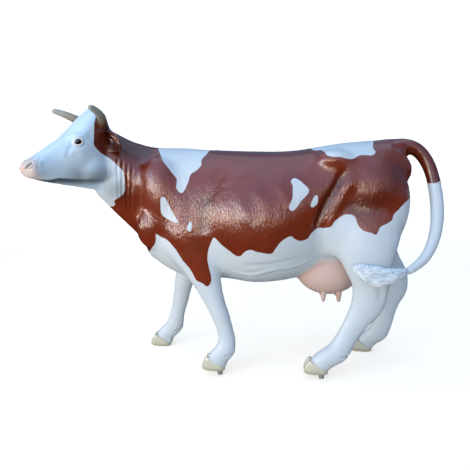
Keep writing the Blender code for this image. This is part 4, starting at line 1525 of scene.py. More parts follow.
# path of x, y away from the median plane, z; width; depth; bank
BODY_LINES = (
    # flank fold before the thigh
    (((0.643, 0.243, 1.265), (0.614, 0.253, 1.213), (0.582, 0.263, 1.146), (0.544, 0.271, 1.079),
     (0.505, 0.274, 0.99), (0.47, 0.27, 0.9)), 0.021, 0.019, 0.0),
    (((0.7, 0.238, 1.24), (0.665, 0.255, 1.17), (0.63, 0.263, 1.1), (0.59, 0.268, 1.02),
     (0.56, 0.262, 0.93), (0.54, 0.25, 0.85)), 0.028, -0.011, 0.0),
    # hollow behind the shoulder and elbow
    (((-0.03, 0.16, 1.31), (-0.07, 0.21, 1.24), (-0.1, 0.245, 1.17), (-0.14, 0.26, 1.08),
     (-0.15, 0.275, 0.98), (-0.145, 0.285, 0.88)), 0.045, 0.013, 0.0),
    # front edge of the shoulder
    (((-0.5, 0.1, 1.33), (-0.53, 0.15, 1.22), (-0.56, 0.18, 1.1), (-0.585, 0.19, 0.99),
     (-0.57, 0.18, 0.9)), 0.03, 0.008, 0.2),
    # upper arm over the foreleg
    (((-0.47, 0.21, 0.9), (-0.4, 0.24, 0.86), (-0.33, 0.26, 0.8), (-0.27, 0.26, 0.74)), 0.03, 0.006, 0.0),
    # ribs
    (((0.108, 0.238, 1.245), (0.02, 0.24, 1.215), (-0.065, 0.246, 1.182)), 0.022, -0.004, 0.3),
    (((0.211, 0.255, 1.229), (0.27, 0.29, 1.17), (0.313, 0.312, 1.109), (0.336, 0.321, 1.04)),
     0.026, -0.004, 0.3),
    (((0.12, 0.29, 1.17), (0.19, 0.33, 1.08), (0.22, 0.345, 0.97)), 0.03, -0.0035, 0.3),
    (((0.02, 0.28, 1.14), (0.07, 0.32, 1.05), (0.1, 0.345, 0.93)), 0.03, -0.003, 0.3),
    # milk vein and belly folds
    (((0.001, 0.212, 0.65), (0.122, 0.225, 0.638), (0.246, 0.257, 0.678), (0.345, 0.234, 0.687),
     (0.47, 0.19, 0.72)), 0.016, -0.007, 0.4),
    (((0.06, 0.25, 0.7), (0.18, 0.27, 0.71), (0.3, 0.27, 0.73), (0.42, 0.24, 0.75)), 0.018, 0.005, 0.3),
    # thigh and buttock
    (((0.93, 0.16, 1.21), (0.945, 0.17, 1.1), (0.945, 0.185, 0.98), (0.93, 0.2, 0.86)), 0.04, 0.008, 0.0),
    # gaskin and the string of the hock on the standing leg
    (((0.845, 0.27, 0.66), (0.86, 0.265, 0.58), (0.862, 0.26, 0.5)), 0.02, 0.006, 0.2),
    # hollow beside the tail's root
    (((0.93, 0.075, 1.4), (0.985, 0.062, 1.39), (1.02, 0.055, 1.36)), 0.028, 0.012, 0.0),
    # breastbone crease
    (((-0.57, 0.05, 0.86), (-0.53, 0.05, 0.76), (-0.47, 0.05, 0.69)), 0.025, 0.008, 0.0),
)

# centre, reach along X, Y, Z, height
BODY_SWELLINGS = (
    ((0.47, 0.2, 1.24), (0.09, 0.1, 0.07), -0.011),
    ((0.585, 0.17, 1.345), (0.06, 0.06, 0.04), 0.003),
    ((-0.44, 0.2, 1.08), (0.05, 0.1, 0.2), 0.006),
    ((-0.27, 0.25, 1.15), (0.05, 0.1, 0.1), -0.005),
    ((-0.31, 0.24, 1.02), (0.05, 0.1, 0.1), 0.006),
    ((0.15, 0.36, 0.95), (0.2, 0.2, 0.18), 0.004),
)

FACE_SWELLINGS = (
    # brow, hollow over the eye, temple
    ((0.15, 0.1, 1.452), (0.034, 0.03, 0.014), 0.007),
    ((0.095, 0.105, 1.462), (0.026, 0.04, 0.022), -0.006),
    ((0.205, 0.085, 1.395), (0.03, 0.03, 0.016), -0.004),
    # cheek and its front edge
    ((0.06, 0.11, 1.25), (0.07, 0.05, 0.04), 0.004),
    ((0.17, 0.085, 1.255), (0.035, 0.04, 0.05), -0.004),
    # crest of the cheek bone below the eye
    ((0.165, 0.105, 1.372), (0.05, 0.03, 0.014), 0.006),
    ((0.235, 0.085, 1.345), (0.04, 0.03, 0.014), 0.004),
    # side of the nose, upper lip, chin
    ((0.3, 0.075, 1.335), (0.045, 0.03, 0.024), -0.005),
    ((0.385, 0.078, 1.245), (0.04, 0.03, 0.018), 0.006),
    ((0.405, 0.03, 1.205), (0.03, 0.04, 0.01), -0.003),
    # wing of the nostril
    ((0.395, 0.078, 1.298), (0.02, 0.02, 0.02), 0.006),
    # root of the ear, collar of the horn
    ((0.022, 0.105, 1.478), (0.024, 0.03, 0.026), 0.01),
    ((0.012, 0.1, 1.528), (0.02, 0.02, 0.018), 0.004),
    # curled poll
    ((0.02, 0.035, 1.625), (0.03, 0.03, 0.02), 0.004),
)
FACE_LINES = (
    # the jaw's underside, in under the cheek
    (((-0.03, 0.108, 1.216), (0.02, 0.11, 1.204), (0.08, 0.102, 1.2), (0.15, 0.086, 1.2),
     (0.21, 0.074, 1.203), (0.256, 0.064, 1.208)), 0.011, 0.006, 0.1),
    # from the inner corner of the eye down the cheek
    (((0.2, 0.098, 1.402), (0.215, 0.09, 1.375), (0.235, 0.084, 1.33)), 0.012, 0.003, 0.3),
    # between the nose bone and the nostril
    (((0.36, 0.06, 1.335), (0.385, 0.074, 1.315), (0.395, 0.082, 1.285), (0.385, 0.084, 1.262)),
     0.01, 0.003, 0.3),
)
MOUTH_LINES = (
    (((0.292, 0.054, 1.206), (0.32, 0.074, 1.204), (0.37, 0.078, 1.208), (0.415, 0.076, 1.215),
     (0.442, 0.058, 1.222), (0.452, 0.03, 1.226), (0.454, 0.0, 1.227), (0.454, -0.006, 1.227)),
     0.0055, 0.006, 0.2),
    (((0.452, 0.0, 1.29), (0.456, 0.0, 1.262), (0.455, 0.0, 1.235)), 0.006, 0.002, 0.2),
)
# in from the side of each fetlock to its back: from the fetlock's middle along, across and up
FETLOCK_FOLD = (
    (-0.008, 0.048, -0.036), (0.018, 0.046, -0.031), (0.042, 0.034, -0.03), (0.056, 0.014, -0.032),
    (0.058, -0.004, -0.033),
)
# height, and the share of the hair's full depth
HAIR_DEPTH = ((0.05, 0.55, 0.80, 0.95, 1.12, 1.22, 1.34), (0.22, 0.25, 0.50, 0.85, 1.0, 0.50, 0.20))
# the nostril's rear and front ends
NOSTRIL = ((0.416, 0.063, 1.301), (0.447, 0.030, 1.263))

# wrinkles behind the jaw, on the side that the head turns to
NECK_FOLDS = (
    (((-0.76, 0.19, 1.3), (-0.766, 0.18, 1.2), (-0.775, 0.15, 1.08)), 0.0055, 0.0024, 0.5),
    (((-0.745, 0.185, 1.31), (-0.753, 0.175, 1.2), (-0.758, 0.15, 1.06)), 0.0055, 0.0028, 0.5),
    (((-0.728, 0.185, 1.3), (-0.736, 0.17, 1.19), (-0.742, 0.15, 1.05)), 0.0055, 0.0026, 0.5),
    (((-0.712, 0.185, 1.29), (-0.718, 0.17, 1.18), (-0.722, 0.15, 1.05)), 0.0055, 0.0022, 0.5),
    (((-0.69, 0.185, 1.33), (-0.697, 0.18, 1.25), (-0.7, 0.17, 1.15), (-0.707, 0.15, 1.02)),
     0.008, 0.008, 0.45),
    (((-0.662, 0.18, 1.32), (-0.668, 0.18, 1.23), (-0.676, 0.17, 1.13), (-0.684, 0.15, 1.0)),
     0.0085, 0.0085, 0.45),
    (((-0.636, 0.18, 1.3), (-0.64, 0.18, 1.21), (-0.65, 0.17, 1.1), (-0.66, 0.14, 0.97)),
     0.0085, 0.008, 0.45),
    (((-0.607, 0.18, 1.28), (-0.612, 0.18, 1.19), (-0.624, 0.17, 1.08), (-0.638, 0.14, 0.95)),
     0.009, 0.007, 0.45),
    (((-0.676, 0.18, 1.29), (-0.682, 0.18, 1.24), (-0.688, 0.17, 1.19)), 0.007, 0.006, 0.5),
    (((-0.648, 0.18, 1.27), (-0.653, 0.18, 1.22), (-0.66, 0.17, 1.17)), 0.007, 0.006, 0.5),
    (((-0.622, 0.18, 1.25), (-0.626, 0.18, 1.2), (-0.634, 0.17, 1.15)), 0.007, 0.0055, 0.5),
)

# Corners of the white, in x and height; the head's in its own length and height
FACE_WHITE = (
    (0.059, 1.53), (0.074, 1.45), (0.074, 1.4), (0.03, 1.36), (-0.018, 1.33), (-0.052, 1.29),
    (-0.077, 1.25), (-0.084, 1.18), (-0.085, 1.13), (-0.073, 1.1), (-0.055, 1.07), (-0.053, 1.02),
    (0.1, 0.9), (0.6, 0.95), (0.7, 1.3), (0.5, 1.7), (0.1, 1.8), (0.0, 1.7), (0.018, 1.62),
    (0.04, 1.57),
)
WITHERS_WHITE = (
    (-0.48, 1.39), (-0.44, 1.34), (-0.39, 1.28), (-0.36, 1.24), (-0.33, 1.2), (-0.33, 1.15), (-0.3, 1.12),
    (-0.28, 1.14), (-0.26, 1.19), (-0.25, 1.23), (-0.22, 1.25), (-0.19, 1.28), (-0.19, 1.32), (-0.16, 1.36),
    (-0.13, 1.48), (-0.3, 1.55), (-0.52, 1.48),
)
SHOULDER_SPOT = (
    (-0.42, 1.08), (-0.41, 1.1), (-0.39, 1.09), (-0.36, 1.03), (-0.33, 0.98), (-0.31, 0.945), (-0.36, 0.96),
    (-0.41, 0.99), (-0.42, 1.02),
)
ARM_SPOT = ((-0.24, 0.96), (-0.23, 0.96), (-0.23, 0.92), (-0.24, 0.90), (-0.26, 0.92), (-0.25, 0.94))
FLANK_SPOT = (
    (0.34, 1.19), (0.35, 1.21), (0.37, 1.21), (0.4, 1.19), (0.44, 1.15), (0.43, 1.12), (0.4, 1.09),
    (0.38, 1.06), (0.35, 1.03), (0.33, 1.05), (0.34, 1.08), (0.35, 1.11), (0.35, 1.17),
)
FLANK_DROP = ((0.45, 1.06), (0.46, 1.09), (0.48, 1.12), (0.49, 1.11), (0.49, 1.07), (0.46, 1.05))
RUMP_WHITE = (
    (0.46, 1.39), (0.48, 1.37), (0.52, 1.37), (0.54, 1.34), (0.57, 1.33), (0.61, 1.33), (0.65, 1.32),
    (0.69, 1.32), (0.73, 1.34), (0.8, 1.34), (0.82, 1.36), (0.81, 1.39), (0.84, 1.5), (0.65, 1.6),
    (0.44, 1.5),
)
BELOW = (
    (1.02, 1.1), (1.1, 1.17), (1.18, 1.18), (1.32, 1.19), (1.5, 0.9), (1.4, -0.3), (0.3, -0.5),
    (-0.8, -0.3), (-0.9, 0.4), (-0.62, 0.66),
)
LEFT_BELOW = (
    (-0.54, 0.74), (-0.48, 0.8), (-0.46, 0.84), (-0.46, 0.88), (-0.43, 0.86), (-0.38, 0.84), (-0.33, 0.79),
    (-0.29, 0.73), (-0.24, 0.67), (-0.21, 0.61), (-0.17, 0.59), (-0.14, 0.57), (-0.12, 0.6), (-0.12, 0.64),
    (-0.13, 0.68), (-0.14, 0.74), (-0.13, 0.8), (-0.1, 0.87), (-0.08, 0.86), (-0.05, 0.83), (-0.01, 0.8),
    (0.03, 0.77), (0.06, 0.77), (0.09, 0.8), (0.12, 0.81), (0.15, 0.8), (0.2, 0.79), (0.24, 0.79),
    (0.26, 0.82), (0.29, 0.86), (0.34, 0.89), (0.37, 0.87), (0.4, 0.86), (0.44, 0.87), (0.46, 0.9),
    (0.5, 0.93), (0.53, 0.93), (0.57, 0.94), (0.59, 0.97), (0.63, 1.0), (0.66, 1.01), (0.7, 1.0),
    (0.72, 0.95), (0.75, 0.92), (0.79, 0.91), (0.82, 0.9), (0.84, 0.94), (0.88, 0.96), (0.91, 0.98),
    (0.92, 1.01), (0.95, 1.04), (0.98, 1.07),
)
RIGHT_BELOW = (
    (-0.54, 0.74), (-0.5, 0.82), (-0.44, 0.86), (-0.37, 0.81), (-0.33, 0.73), (-0.3, 0.67), (-0.26, 0.7),
    (-0.22, 0.79), (-0.14, 0.86), (-0.04, 0.84), (0.05, 0.78), (0.1, 0.8), (0.17, 0.87), (0.24, 0.85),
    (0.29, 0.81), (0.36, 0.84), (0.42, 0.9), (0.5, 0.95), (0.58, 0.98), (0.66, 0.96), (0.73, 0.92),
    (0.8, 0.94), (0.86, 1.0), (0.92, 1.01), (0.98, 1.07),
)
LEFT_WHITE = (LEFT_BELOW + BELOW, WITHERS_WHITE, SHOULDER_SPOT, ARM_SPOT, FLANK_SPOT, FLANK_DROP, RUMP_WHITE)
RIGHT_WITHERS = (
    (-0.48, 1.39), (-0.45, 1.33), (-0.42, 1.26), (-0.37, 1.22), (-0.34, 1.24), (-0.31, 1.3), (-0.27, 1.28),
    (-0.23, 1.22), (-0.2, 1.25), (-0.18, 1.31), (-0.16, 1.36), (-0.13, 1.48), (-0.3, 1.55), (-0.52, 1.48),
)
RIGHT_RUMP = (
    (0.46, 1.39), (0.49, 1.35), (0.53, 1.31), (0.58, 1.27), (0.63, 1.25), (0.67, 1.28), (0.7, 1.33),
    (0.76, 1.34), (0.81, 1.37), (0.84, 1.5), (0.65, 1.6), (0.44, 1.5),
)
RIGHT_SPOT = (
    (0.18, 1.1), (0.21, 1.15), (0.26, 1.16), (0.3, 1.13), (0.31, 1.08), (0.27, 1.04), (0.22, 1.03),
    (0.18, 1.05),
)
RIGHT_DROP = ((-0.44, 1.02), (-0.42, 1.06), (-0.39, 1.05), (-0.38, 1.00), (-0.40, 0.96), (-0.43, 0.97))
RIGHT_WHITE = (RIGHT_BELOW + BELOW, RIGHT_WITHERS, RIGHT_RUMP, RIGHT_SPOT, RIGHT_DROP)

LEG_NODES = [f"{foot.name}_{part}" for foot in Foot for part in ("upper", "lower")]
TAIL_NODES = [f"tail_{part}" for part in ("root", "middle", "lower")]
FLESH_NODES = ["barrel", "chest", "neck", "head", "hindquarters", *TAIL_NODES, "udder", *LEG_NODES]


@dataclass
class Skin:
    """The painted skin of the whole cow.

    Attributes:
        flesh: the clay that it is drawn over.
    """

    flesh: Flesh = field(default_factory=Flesh)

    def build(self, material: Material) -> Thing:
        """Sculpts and paints the skin, and joins it to the model.

        Args:
            material: The piece's material.

        Returns:
            The skin.
        """
        made = self.flesh.joined()
        work = Features(made)
        work.refine_regions()
        work.outline_face()
        work.body()
        work.locks()
        work.face()
        work.nostrils()
        work.lids()
        work.paint()
        return dressed(made, material, FLESH_NODES)


# ------------------------------------------------------------------ pieces of their own


@dataclass
class Horn:
    """A short horn with rings at its base and a blunt tip.

    Attributes:
        side: LEFT or RIGHT.
        rows: ahead, across, height and radius, from inside the root to the tip.
        ring_height: how far the rings stand out.
    """

    side: int
    rows: Rows = (
        (0.0, 0.072, 1.52, 0.027),
        (0.02, 0.12, 1.537, 0.0265),
        (0.05, 0.164, 1.563, 0.0245),
        (0.095, 0.2, 1.587, 0.021),
        (0.133, 0.222, 1.601, 0.0175),
        (0.153, 0.231, 1.606, 0.0135),
        (0.16, 0.233, 1.608, 0.006),
    )
    ring_height: float = 0.0009

    def build(self, material: Material) -> Thing:
        """Builds the horn, with a number from root to tip for its paint.

        Args:
            material: The piece's material.

        Returns:
            The horn.
        """
        rows = through(self.rows, 60)
        stations = []
        for i, (ahead, across, height, radius) in enumerate(rows):
            share = i / (len(rows) - 1)
            rings = self.ring_height * math.sin(share * 62) * max(0.0, 1 - share * 1.6)
            stations.append((*on_head(ahead, across * self.side, height), radius + rings))
        made = drawn_out(f"horn_{hand(self.side)}_sleeve", tube_rings(np.array(stations), 28))
        middle = np.array(stations)[:, :3]
        gaps = np.linalg.norm(points_of(made)[:, None] - middle[None], axis=2)
        set_attribute(made, "root_by", np.clip(1.45 - gaps.argmin(axis=1) / len(rows) * 2.6, 0, 1))
        return dressed(made, material, [f"horn_{hand(self.side)}"])


@dataclass
class Ear:
    """A drooping cup of an ear, with a rolled rim and hair ridges inside.

    Attributes:
        side: LEFT or RIGHT.
        length: from root to tip.
        wall: how thick the cup is.
        root: its place on the head.
        reach: the direction of its length, in the head's directions.
        mouth: the direction that the cup opens to, in the same.
        rows: share of the length, half width above and below the middle, depth of the cup.
    """

    side: int
    length: float = 0.172
    wall: float = 0.012
    root: tuple[float, ...] = (-0.006, 0.084, 1.478)
    reach: tuple[float, ...] = (-0.12, 0.74, -0.53)
    mouth: tuple[float, ...] = (0.80, 0.15, -0.10)
    rows: Rows = (
        (0.0, 0.02, 0.022, 0.014),
        (0.14, 0.034, 0.048, 0.03),
        (0.32, 0.05, 0.078, 0.046),
        (0.52, 0.06, 0.08, 0.05),
        (0.72, 0.056, 0.06, 0.04),
        (0.9, 0.036, 0.034, 0.022),
        (1.0, 0.012, 0.01, 0.006),
    )

    def directions(self) -> tuple[Vector, Vector, Vector]:
        """Finds how the ear lies.

        Returns:
            The directions along it, across it downwards, and out of its mouth.
        """
        ways = (self.reach, self.mouth)
        reach, mouth = (AHEAD * ahead + HEAD_LEFT * out * self.side + UP * up for ahead, out, up in ways)
        reach.normalize()
        mouth = (mouth - reach * mouth.dot(reach)).normalized()
        across = reach.cross(mouth).normalized()
        return reach, across if across.z < 0 else -across, mouth

    def relief(self, share: float, u: float) -> float:
        """Raises the hair ridges and the inner fold.

        Args:
            share: The share of the ear's length.
            u: The place across it.

        Returns:
            The height.
        """
        swell = math.sin(math.pi * min(1.0, share * 1.1))
        ridges = 0.0024 * math.cos(u * 10 + share * 3) * swell * (1 - u * u)
        fold = 0.009 * math.exp(-(((u + 0.42 - 1.1 * share) / 0.15) ** 2))
        return ridges + fold * math.sin(math.pi * min(1.0, share * 1.35))

    def build(self, material: Material) -> Thing:
        """Builds the ear.

        Args:
            material: The piece's material.

        Returns:
            The ear.
        """
        reach, across, mouth = self.directions()
        root = on_head(self.root[0], self.root[1] * self.side, self.root[2])
        rings = []
        steps = 33
        for share, upper, lower, cup in through(self.rows, 48):
            outer, inner = [], []
            for step in range(steps):
                u = 2 * step / (steps - 1) - 1
                half = lower if u > 0 else upper
                wall = self.wall * (1 - 0.25 * abs(u) ** 3)
                curl = 0.010 * max(0.0, abs(u) - 0.72) / 0.28
                middle = root + reach * self.length * share + across * (half * u - math.copysign(curl, u))
                middle += mouth * cup * (abs(u) ** 1.7 - 1)
                outer.append(middle - mouth * wall * 0.5)
                inner.append(middle + mouth * (wall * 0.5 + self.relief(share, u)))
            rings.append(outer + inner[::-1])
        made = drawn_out(f"ear_{hand(self.side)}_cup", rings)
        self.paint(made, root)
        smooth_more(made, 2)
        return dressed(made, material, [f"ear_{hand(self.side)}"])

    def paint(self, made: Thing, root: Vector) -> None:
        """Marks the painted shade in the hollow of the cup and the pink of the lower rim.

        Args:
            made: the ear.
            root: where it leaves the head.
        """
        off = points_of(made) - as_array(root)
        along, out, open_to = (off @ as_array(axis) for axis in self.directions())
        shares, *widths = through(self.rows, 48).T
        upper, lower, cups = (np.interp(along / self.length, shares, width) for width in widths)
        share = np.clip(np.abs(out) / np.where(out > 0, lower, upper), 0, 1)
        inward = open_to - cups * (share**1.7 - 1)
        inside = np.clip(inward / 0.003, 0, 1)
        raised = np.clip((inward - self.wall * 0.5 - 0.002) / 0.006, 0, 1)
        rim = ramp(share, 0.62, 0.82)
        pink = np.maximum(inside * ramp(out, 0.0, 0.05) * rim * 0.5, inside * raised * 0.25)
        marks = {
            "white_by": -0.1,
            "udder_by": 0.0,
            "skylight_tint_by": 0.0,
            "blush_by": pink,
            "grey_by": 0.0,
            # painted shade in the cup's hollow, less on the rim and on the raised fold
            "painted_shade_by": inside * (1 - rim) * (1 - 0.8 * raised) * 0.75,
            "relief_by": 0.12,
        }
        for name, values in marks.items():
            set_attribute(made, name, np.zeros(len(off)) + values)


@dataclass
class Eye:
    """A painted eyeball: dark wide pupil in a brown iris, and a gloss film.

    Attributes:
        side: LEFT or RIGHT.
        iris: the iris's reach from the middle of the gaze, in degrees.
        pupil: the pupil's, which is lower than it is wide.
    """

    side: int
    iris: float = 46.0
    pupil: float = 27.0

    def build(self, material: Material) -> Thing:
        """Builds the eyeball.

        Args:
            material: The piece's material.

        Returns:
            The eyeball.
        """
        bpy.ops.object.select_all(action="DESELECT")
        bpy.ops.mesh.primitive_uv_sphere_add(segments=48, ring_count=32, radius=EYE_RADIUS)
        made = bpy.context.object
        made.name = f"eye_{hand(self.side)}_ball"
        made.data.name = made.name
        gaze = (HEAD_LEFT * self.side * 0.88 + AHEAD * 0.34 + UP * 0.02).normalized()
        points = points_of(made) / EYE_RADIUS
        angle = np.degrees(np.arccos(np.clip(points @ as_array(gaze), -1, 1)))
        set_attribute(made, "iris_by", ramp(angle, self.iris, self.iris - 5))
        set_attribute(made, "pupil_by", ramp(np.hypot(angle, points[:, 2] * 22), self.pupil, self.pupil - 6))
        made.data.transform(Matrix.Translation(on_head(EYE[0], EYE[1] * self.side, EYE[2])))
        return dressed(made, material, [f"eye_{hand(self.side)}"])


@dataclass
class Lids:
    """The rolled rim of both lids, an almond ring that lies on the eyeball.

    Attributes:
        side: LEFT or RIGHT.
        half: half its length.
        thick: radius of the roll.
        top: its height above the eye's middle.
        bottom: its depth below it.
    """

    side: int
    half: float = 0.0250
    thick: float = 0.0056
    top: float = 0.0198
    bottom: float = 0.0182

    def build(self, material: Material) -> Thing:
        """Builds the ring of the rolled lids.

        Args:
            material: The piece's material.

        Returns:
            The ring.
        """
        centre = on_head(EYE[0], EYE[1] * self.side, EYE[2])
        lengthwise, upward, outward = eye_axes(self.side)
        curve = bpy.data.curves.new(f"lids_{hand(self.side)}_rim", "CURVE")
        curve.dimensions = "3D"
        curve.bevel_depth = self.thick
        curve.bevel_resolution = 5
        spline = curve.splines.new("POLY")
        steps = 96
        spline.points.add(steps - 1)
        for step in range(steps):
            angle = 2 * math.pi * step / steps
            along = math.cos(angle) * self.half
            high = (self.top if math.sin(angle) > 0 else -self.bottom) * abs(math.sin(angle)) ** 1.08
            reach = math.sqrt(EYE_RADIUS**2 - min(EYE_RADIUS**2 * 0.97, (along * 0.8) ** 2 + high**2))
            place = centre + lengthwise * along + upward * high + outward * (reach - 0.0004)
            spline.points[step].co = (*place, 1.0)
            spline.points[step].radius = 1.15 if math.sin(angle) > 0.2 else 0.95
        spline.use_cyclic_u = True
        made = bpy.data.objects.new(curve.name, curve)
        bpy.context.scene.collection.objects.link(made)
        pick_only(made)
        bpy.ops.object.convert(target="MESH")
        made = bpy.context.object
        made.data.name = made.name
        corner = centre + lengthwise * self.half + outward * 0.008 - upward * 0.003
        off = np.linalg.norm(points_of(made) - as_array(corner), axis=1)
        set_attribute(made, "duct_by", ramp(off, 0.0085, 0.0045))
        return dressed(made, material, [])


@dataclass
class Hoof:
    """A cloven hoof: two claws with round toes, low at the heel.

    Attributes:
        foot: which foot.
        cleft: between the claws.
        rows: low front, low back, rise at the front and at the back, half width.
    """

    foot: Foot
    cleft: float = 0.006
    rows: Rows = (
        (-0.062, 0.03, 0.0, 0.0, 0.0185),
        (-0.078, 0.042, 0.002, 0.002, 0.0232),
        (-0.087, 0.05, 0.01, 0.007, 0.0252),
        (-0.091, 0.053, 0.022, 0.011, 0.026),
        (-0.087, 0.053, 0.04, 0.015, 0.0264),
        (-0.077, 0.052, 0.06, 0.019, 0.026),
        (-0.066, 0.05, 0.078, 0.023, 0.0252),
        (-0.06, 0.047, 0.086, 0.026, 0.024),
        (-0.054, 0.042, 0.084, 0.027, 0.0205),
    )

    def claw(self, side: int, material: Material) -> Thing:
        """Models one claw, its wall ringed by growth.

        Args:
            side: of the cleft, -1 or 1.
            material: its finish.

        Returns:
            The claw.
        """
        foot = Vector(self.foot.value)
        sections = []
        rows = through(self.rows, 30)
        for i, (front, back, front_rise, back_rise, half) in enumerate(rows):
            share = i / (len(rows) - 1)
            half += 0.00015 * math.sin(share * 40) * (1 if 0.15 < share < 0.9 else 0)
            ring = []
            for step in range(32):
                angle = 2 * math.pi * step / 32
                lengthwise = power(math.cos(angle), 0.8)
                x = (front + back) / 2 + (back - front) / 2 * lengthwise
                y = half * power(math.sin(angle), 0.8) * (1 + 0.16 * lengthwise)
                z = (front_rise + back_rise) / 2 + (back_rise - front_rise) / 2 * lengthwise
                middle = half + self.cleft / 2 - 0.001 * (1 - lengthwise)
                ring.append(foot + Vector((x, y + side * middle, z)))
            sections.append(ring)
        which = "inner" if side * foot.y < 0 else "outer"
        made = drawn_out(f"{self.foot.name}_claw_{which}_wall", sections)
        set_attribute(made, "low_by", ramp(points_of(made)[:, 2] - foot.z, 0.03, 0.0))
        return dressed(made, material, [f"{self.foot.name}_claw_{which}"])

    def build(self, material: Material) -> list[Thing]:
        """Returns the claws."""
        return [self.claw(-1, material), self.claw(1, material)]


@dataclass
class Peg:
    """A steel mounting peg under a raised foot, with eased edges.

    Attributes:
        foot: the foot that stands on it.
        height: from the floor up.
        top: its radius there.
        bottom: its radius on the floor.
        behind: how far behind the middle of the hoof it stands.
        edge: width of the eased edges.
    """

    foot: Foot
    height: float = 0.0376
    top: float = 0.018
    bottom: float = 0.015
    behind: float = 0.018
    edge: float = 0.0012

    def build(self, material: Material) -> Thing:
        """Builds the peg.

        Args:
            material: The piece's material.

        Returns:
            The peg.
        """
        foot = Vector(self.foot.value)
        middle = (foot.x + self.behind, foot.y, self.height / 2)
        bpy.ops.object.select_all(action="DESELECT")
        bpy.ops.mesh.primitive_cone_add(
            vertices=48, radius1=self.bottom, radius2=self.top, depth=self.height, location=(0, 0, 0)
        )
        made = bpy.context.object
        made.name = f"{self.foot.name}_peg_post"
        made.data.name = made.name
        bpy.ops.object.mode_set(mode="EDIT")
        bpy.ops.mesh.select_all(action="SELECT")
        bpy.ops.mesh.edges_select_sharp(sharpness=math.radians(50))
        bpy.ops.mesh.bevel(offset=self.edge, segments=3)
        bpy.ops.object.mode_set(mode="OBJECT")
        made.data.transform(Matrix.Translation(middle))
        return dressed(made, material, [f"{self.foot.name}_peg"])


@dataclass
class Teat:
    """A teat, blended into the udder's skin.

    Attributes:
        end: fore or hind.
        side: LEFT or RIGHT.
        rows: height and radius.
    """

    end: str
    side: int
    rows: Rows = (
        (0.545, 0.023), (0.52, 0.0205), (0.5, 0.0178), (0.485, 0.0163),
        (0.468, 0.0142), (0.454, 0.012), (0.446, 0.0098), (0.4415, 0.0068), (0.44, 0.002),
    )

    def build(self, material: Material) -> Thing:
        """Builds the teat.

        Args:
            material: The piece's material.

        Returns:
            The teat.
        """
        x, y = TEATS[self.end]
        stations = np.array([(x, -y * self.side, z, radius) for z, radius in through(self.rows, 40)])
        made = drawn_out(f"teat_{self.end}_{hand(self.side)}_skin", tube_rings(stations, 28))
        return dressed(made, material, [f"teat_{self.end}_{hand(self.side)}"])


@dataclass
class Switch:
    """The tail's tuft: a core under locks that leave the tail level, then sweep up one after another.

    Attributes:
        core: x, y, z, half height, half thickness.
        sweep: x and height of a lock's end, and of the place that it bends towards.
        lock_count: on each face.
    """

    core: Rows = (
        (0.995, -0.29, 0.694, 0.019, 0.019),
        (0.94, -0.312, 0.682, 0.033, 0.024),
        (0.885, -0.326, 0.672, 0.048, 0.025),
        (0.825, -0.332, 0.672, 0.058, 0.025),
        (0.765, -0.333, 0.688, 0.051, 0.021),
        (0.715, -0.33, 0.715, 0.03, 0.014),
        (0.7, -0.327, 0.732, 0.009, 0.007),
    )
    sweep: Rows = (
        (0.9, 0.706, 0.945, 0.682),
        (0.872, 0.716, 0.925, 0.668),
        (0.845, 0.724, 0.905, 0.655),
        (0.818, 0.731, 0.885, 0.64),
        (0.79, 0.738, 0.862, 0.626),
        (0.764, 0.743, 0.838, 0.612),
        (0.74, 0.744, 0.814, 0.6),
        (0.718, 0.742, 0.79, 0.59),
        (0.7, 0.748, 0.766, 0.58),
        (0.688, 0.742, 0.752, 0.574),
        (0.698, 0.708, 0.77, 0.572),
        (0.716, 0.676, 0.8, 0.574),
        (0.745, 0.645, 0.83, 0.582),
    )
    lock_count: int = 15

    def lock(self, number: int, face: int) -> Thing:
        """Models one lock.

        Args:
            number: its place, from the tail to the tip.
            face: -1 on the outer face, 1 on the inner one.

        Returns:
            The lock.
        """
        share = number / (self.lock_count - 1)
        end_x, end_z, bend_x, bend_z = through(self.sweep, self.lock_count)[number]
        start, end = Vector((0.992, 0.692 + 0.012 * (0.5 - share), 0)), Vector((end_x, end_z, 0))
        first, second = Vector((0.945, 0.690 - 0.028 * share, 0)), Vector((bend_x, bend_z, 0))
        core = through(self.core, 120)
        stations = []
        for t in np.linspace(0, 1, 44):
            left = 1 - t
            flat = start * left**3 + first * 3 * left**2 * t + second * 3 * left * t**2 + end * t**3
            x, z = flat.x, flat.y + 0.0025 * math.sin(t * 9 + number * 2.1) * t
            _, middle, level, height, depth = core[np.abs(core[:, 0] - x).argmin()]
            rise = (z - level) / height
            bulge = (depth - 0.002) * math.sqrt(max(0.0, 1 - min(1.0, abs(rise)) ** 2.5))
            if abs(rise) > 1:
                z = level + math.copysign(height, rise)
            blunt = math.sqrt(max(0.0, 1 - max(0.0, (t - 0.80) / 0.20) ** 2))
            thick = 0.0092 * min(1.0, 0.55 + t * 1.3) * (1 - 0.45 * max(0.0, t - 0.4) / 0.6) * blunt + 0.0008
            stations.append((x, middle + face * bulge, z, thick))
        return drawn_out(f"lock_{number}", tube_rings(np.array(stations), 14, 0.8, Vector((0, 1, 0))))

    def build(self, material: Material) -> Thing:
        """Builds the switch as one piece.

        Args:
            material: The piece's material.

        Returns:
            The switch.
        """
        clay = Clay()
        clay.limb(self.core, 0, 40)
        made = [from_bmesh(clay.mesh, "core")]
        for face in (-1, 1):
            made += [self.lock(number, face) for number in range(self.lock_count)]
        bpy.ops.object.select_all(action="DESELECT")
        for piece in made:
            piece.select_set(True)
        bpy.context.view_layer.objects.active = made[0]
        bpy.ops.object.join()
        both = bpy.context.object
        both.name = "tail_switch_locks"
        both.data.name = both.name
        return dressed(both, material, ["tail_switch"])


# ------------------------------------------------------------------ studio


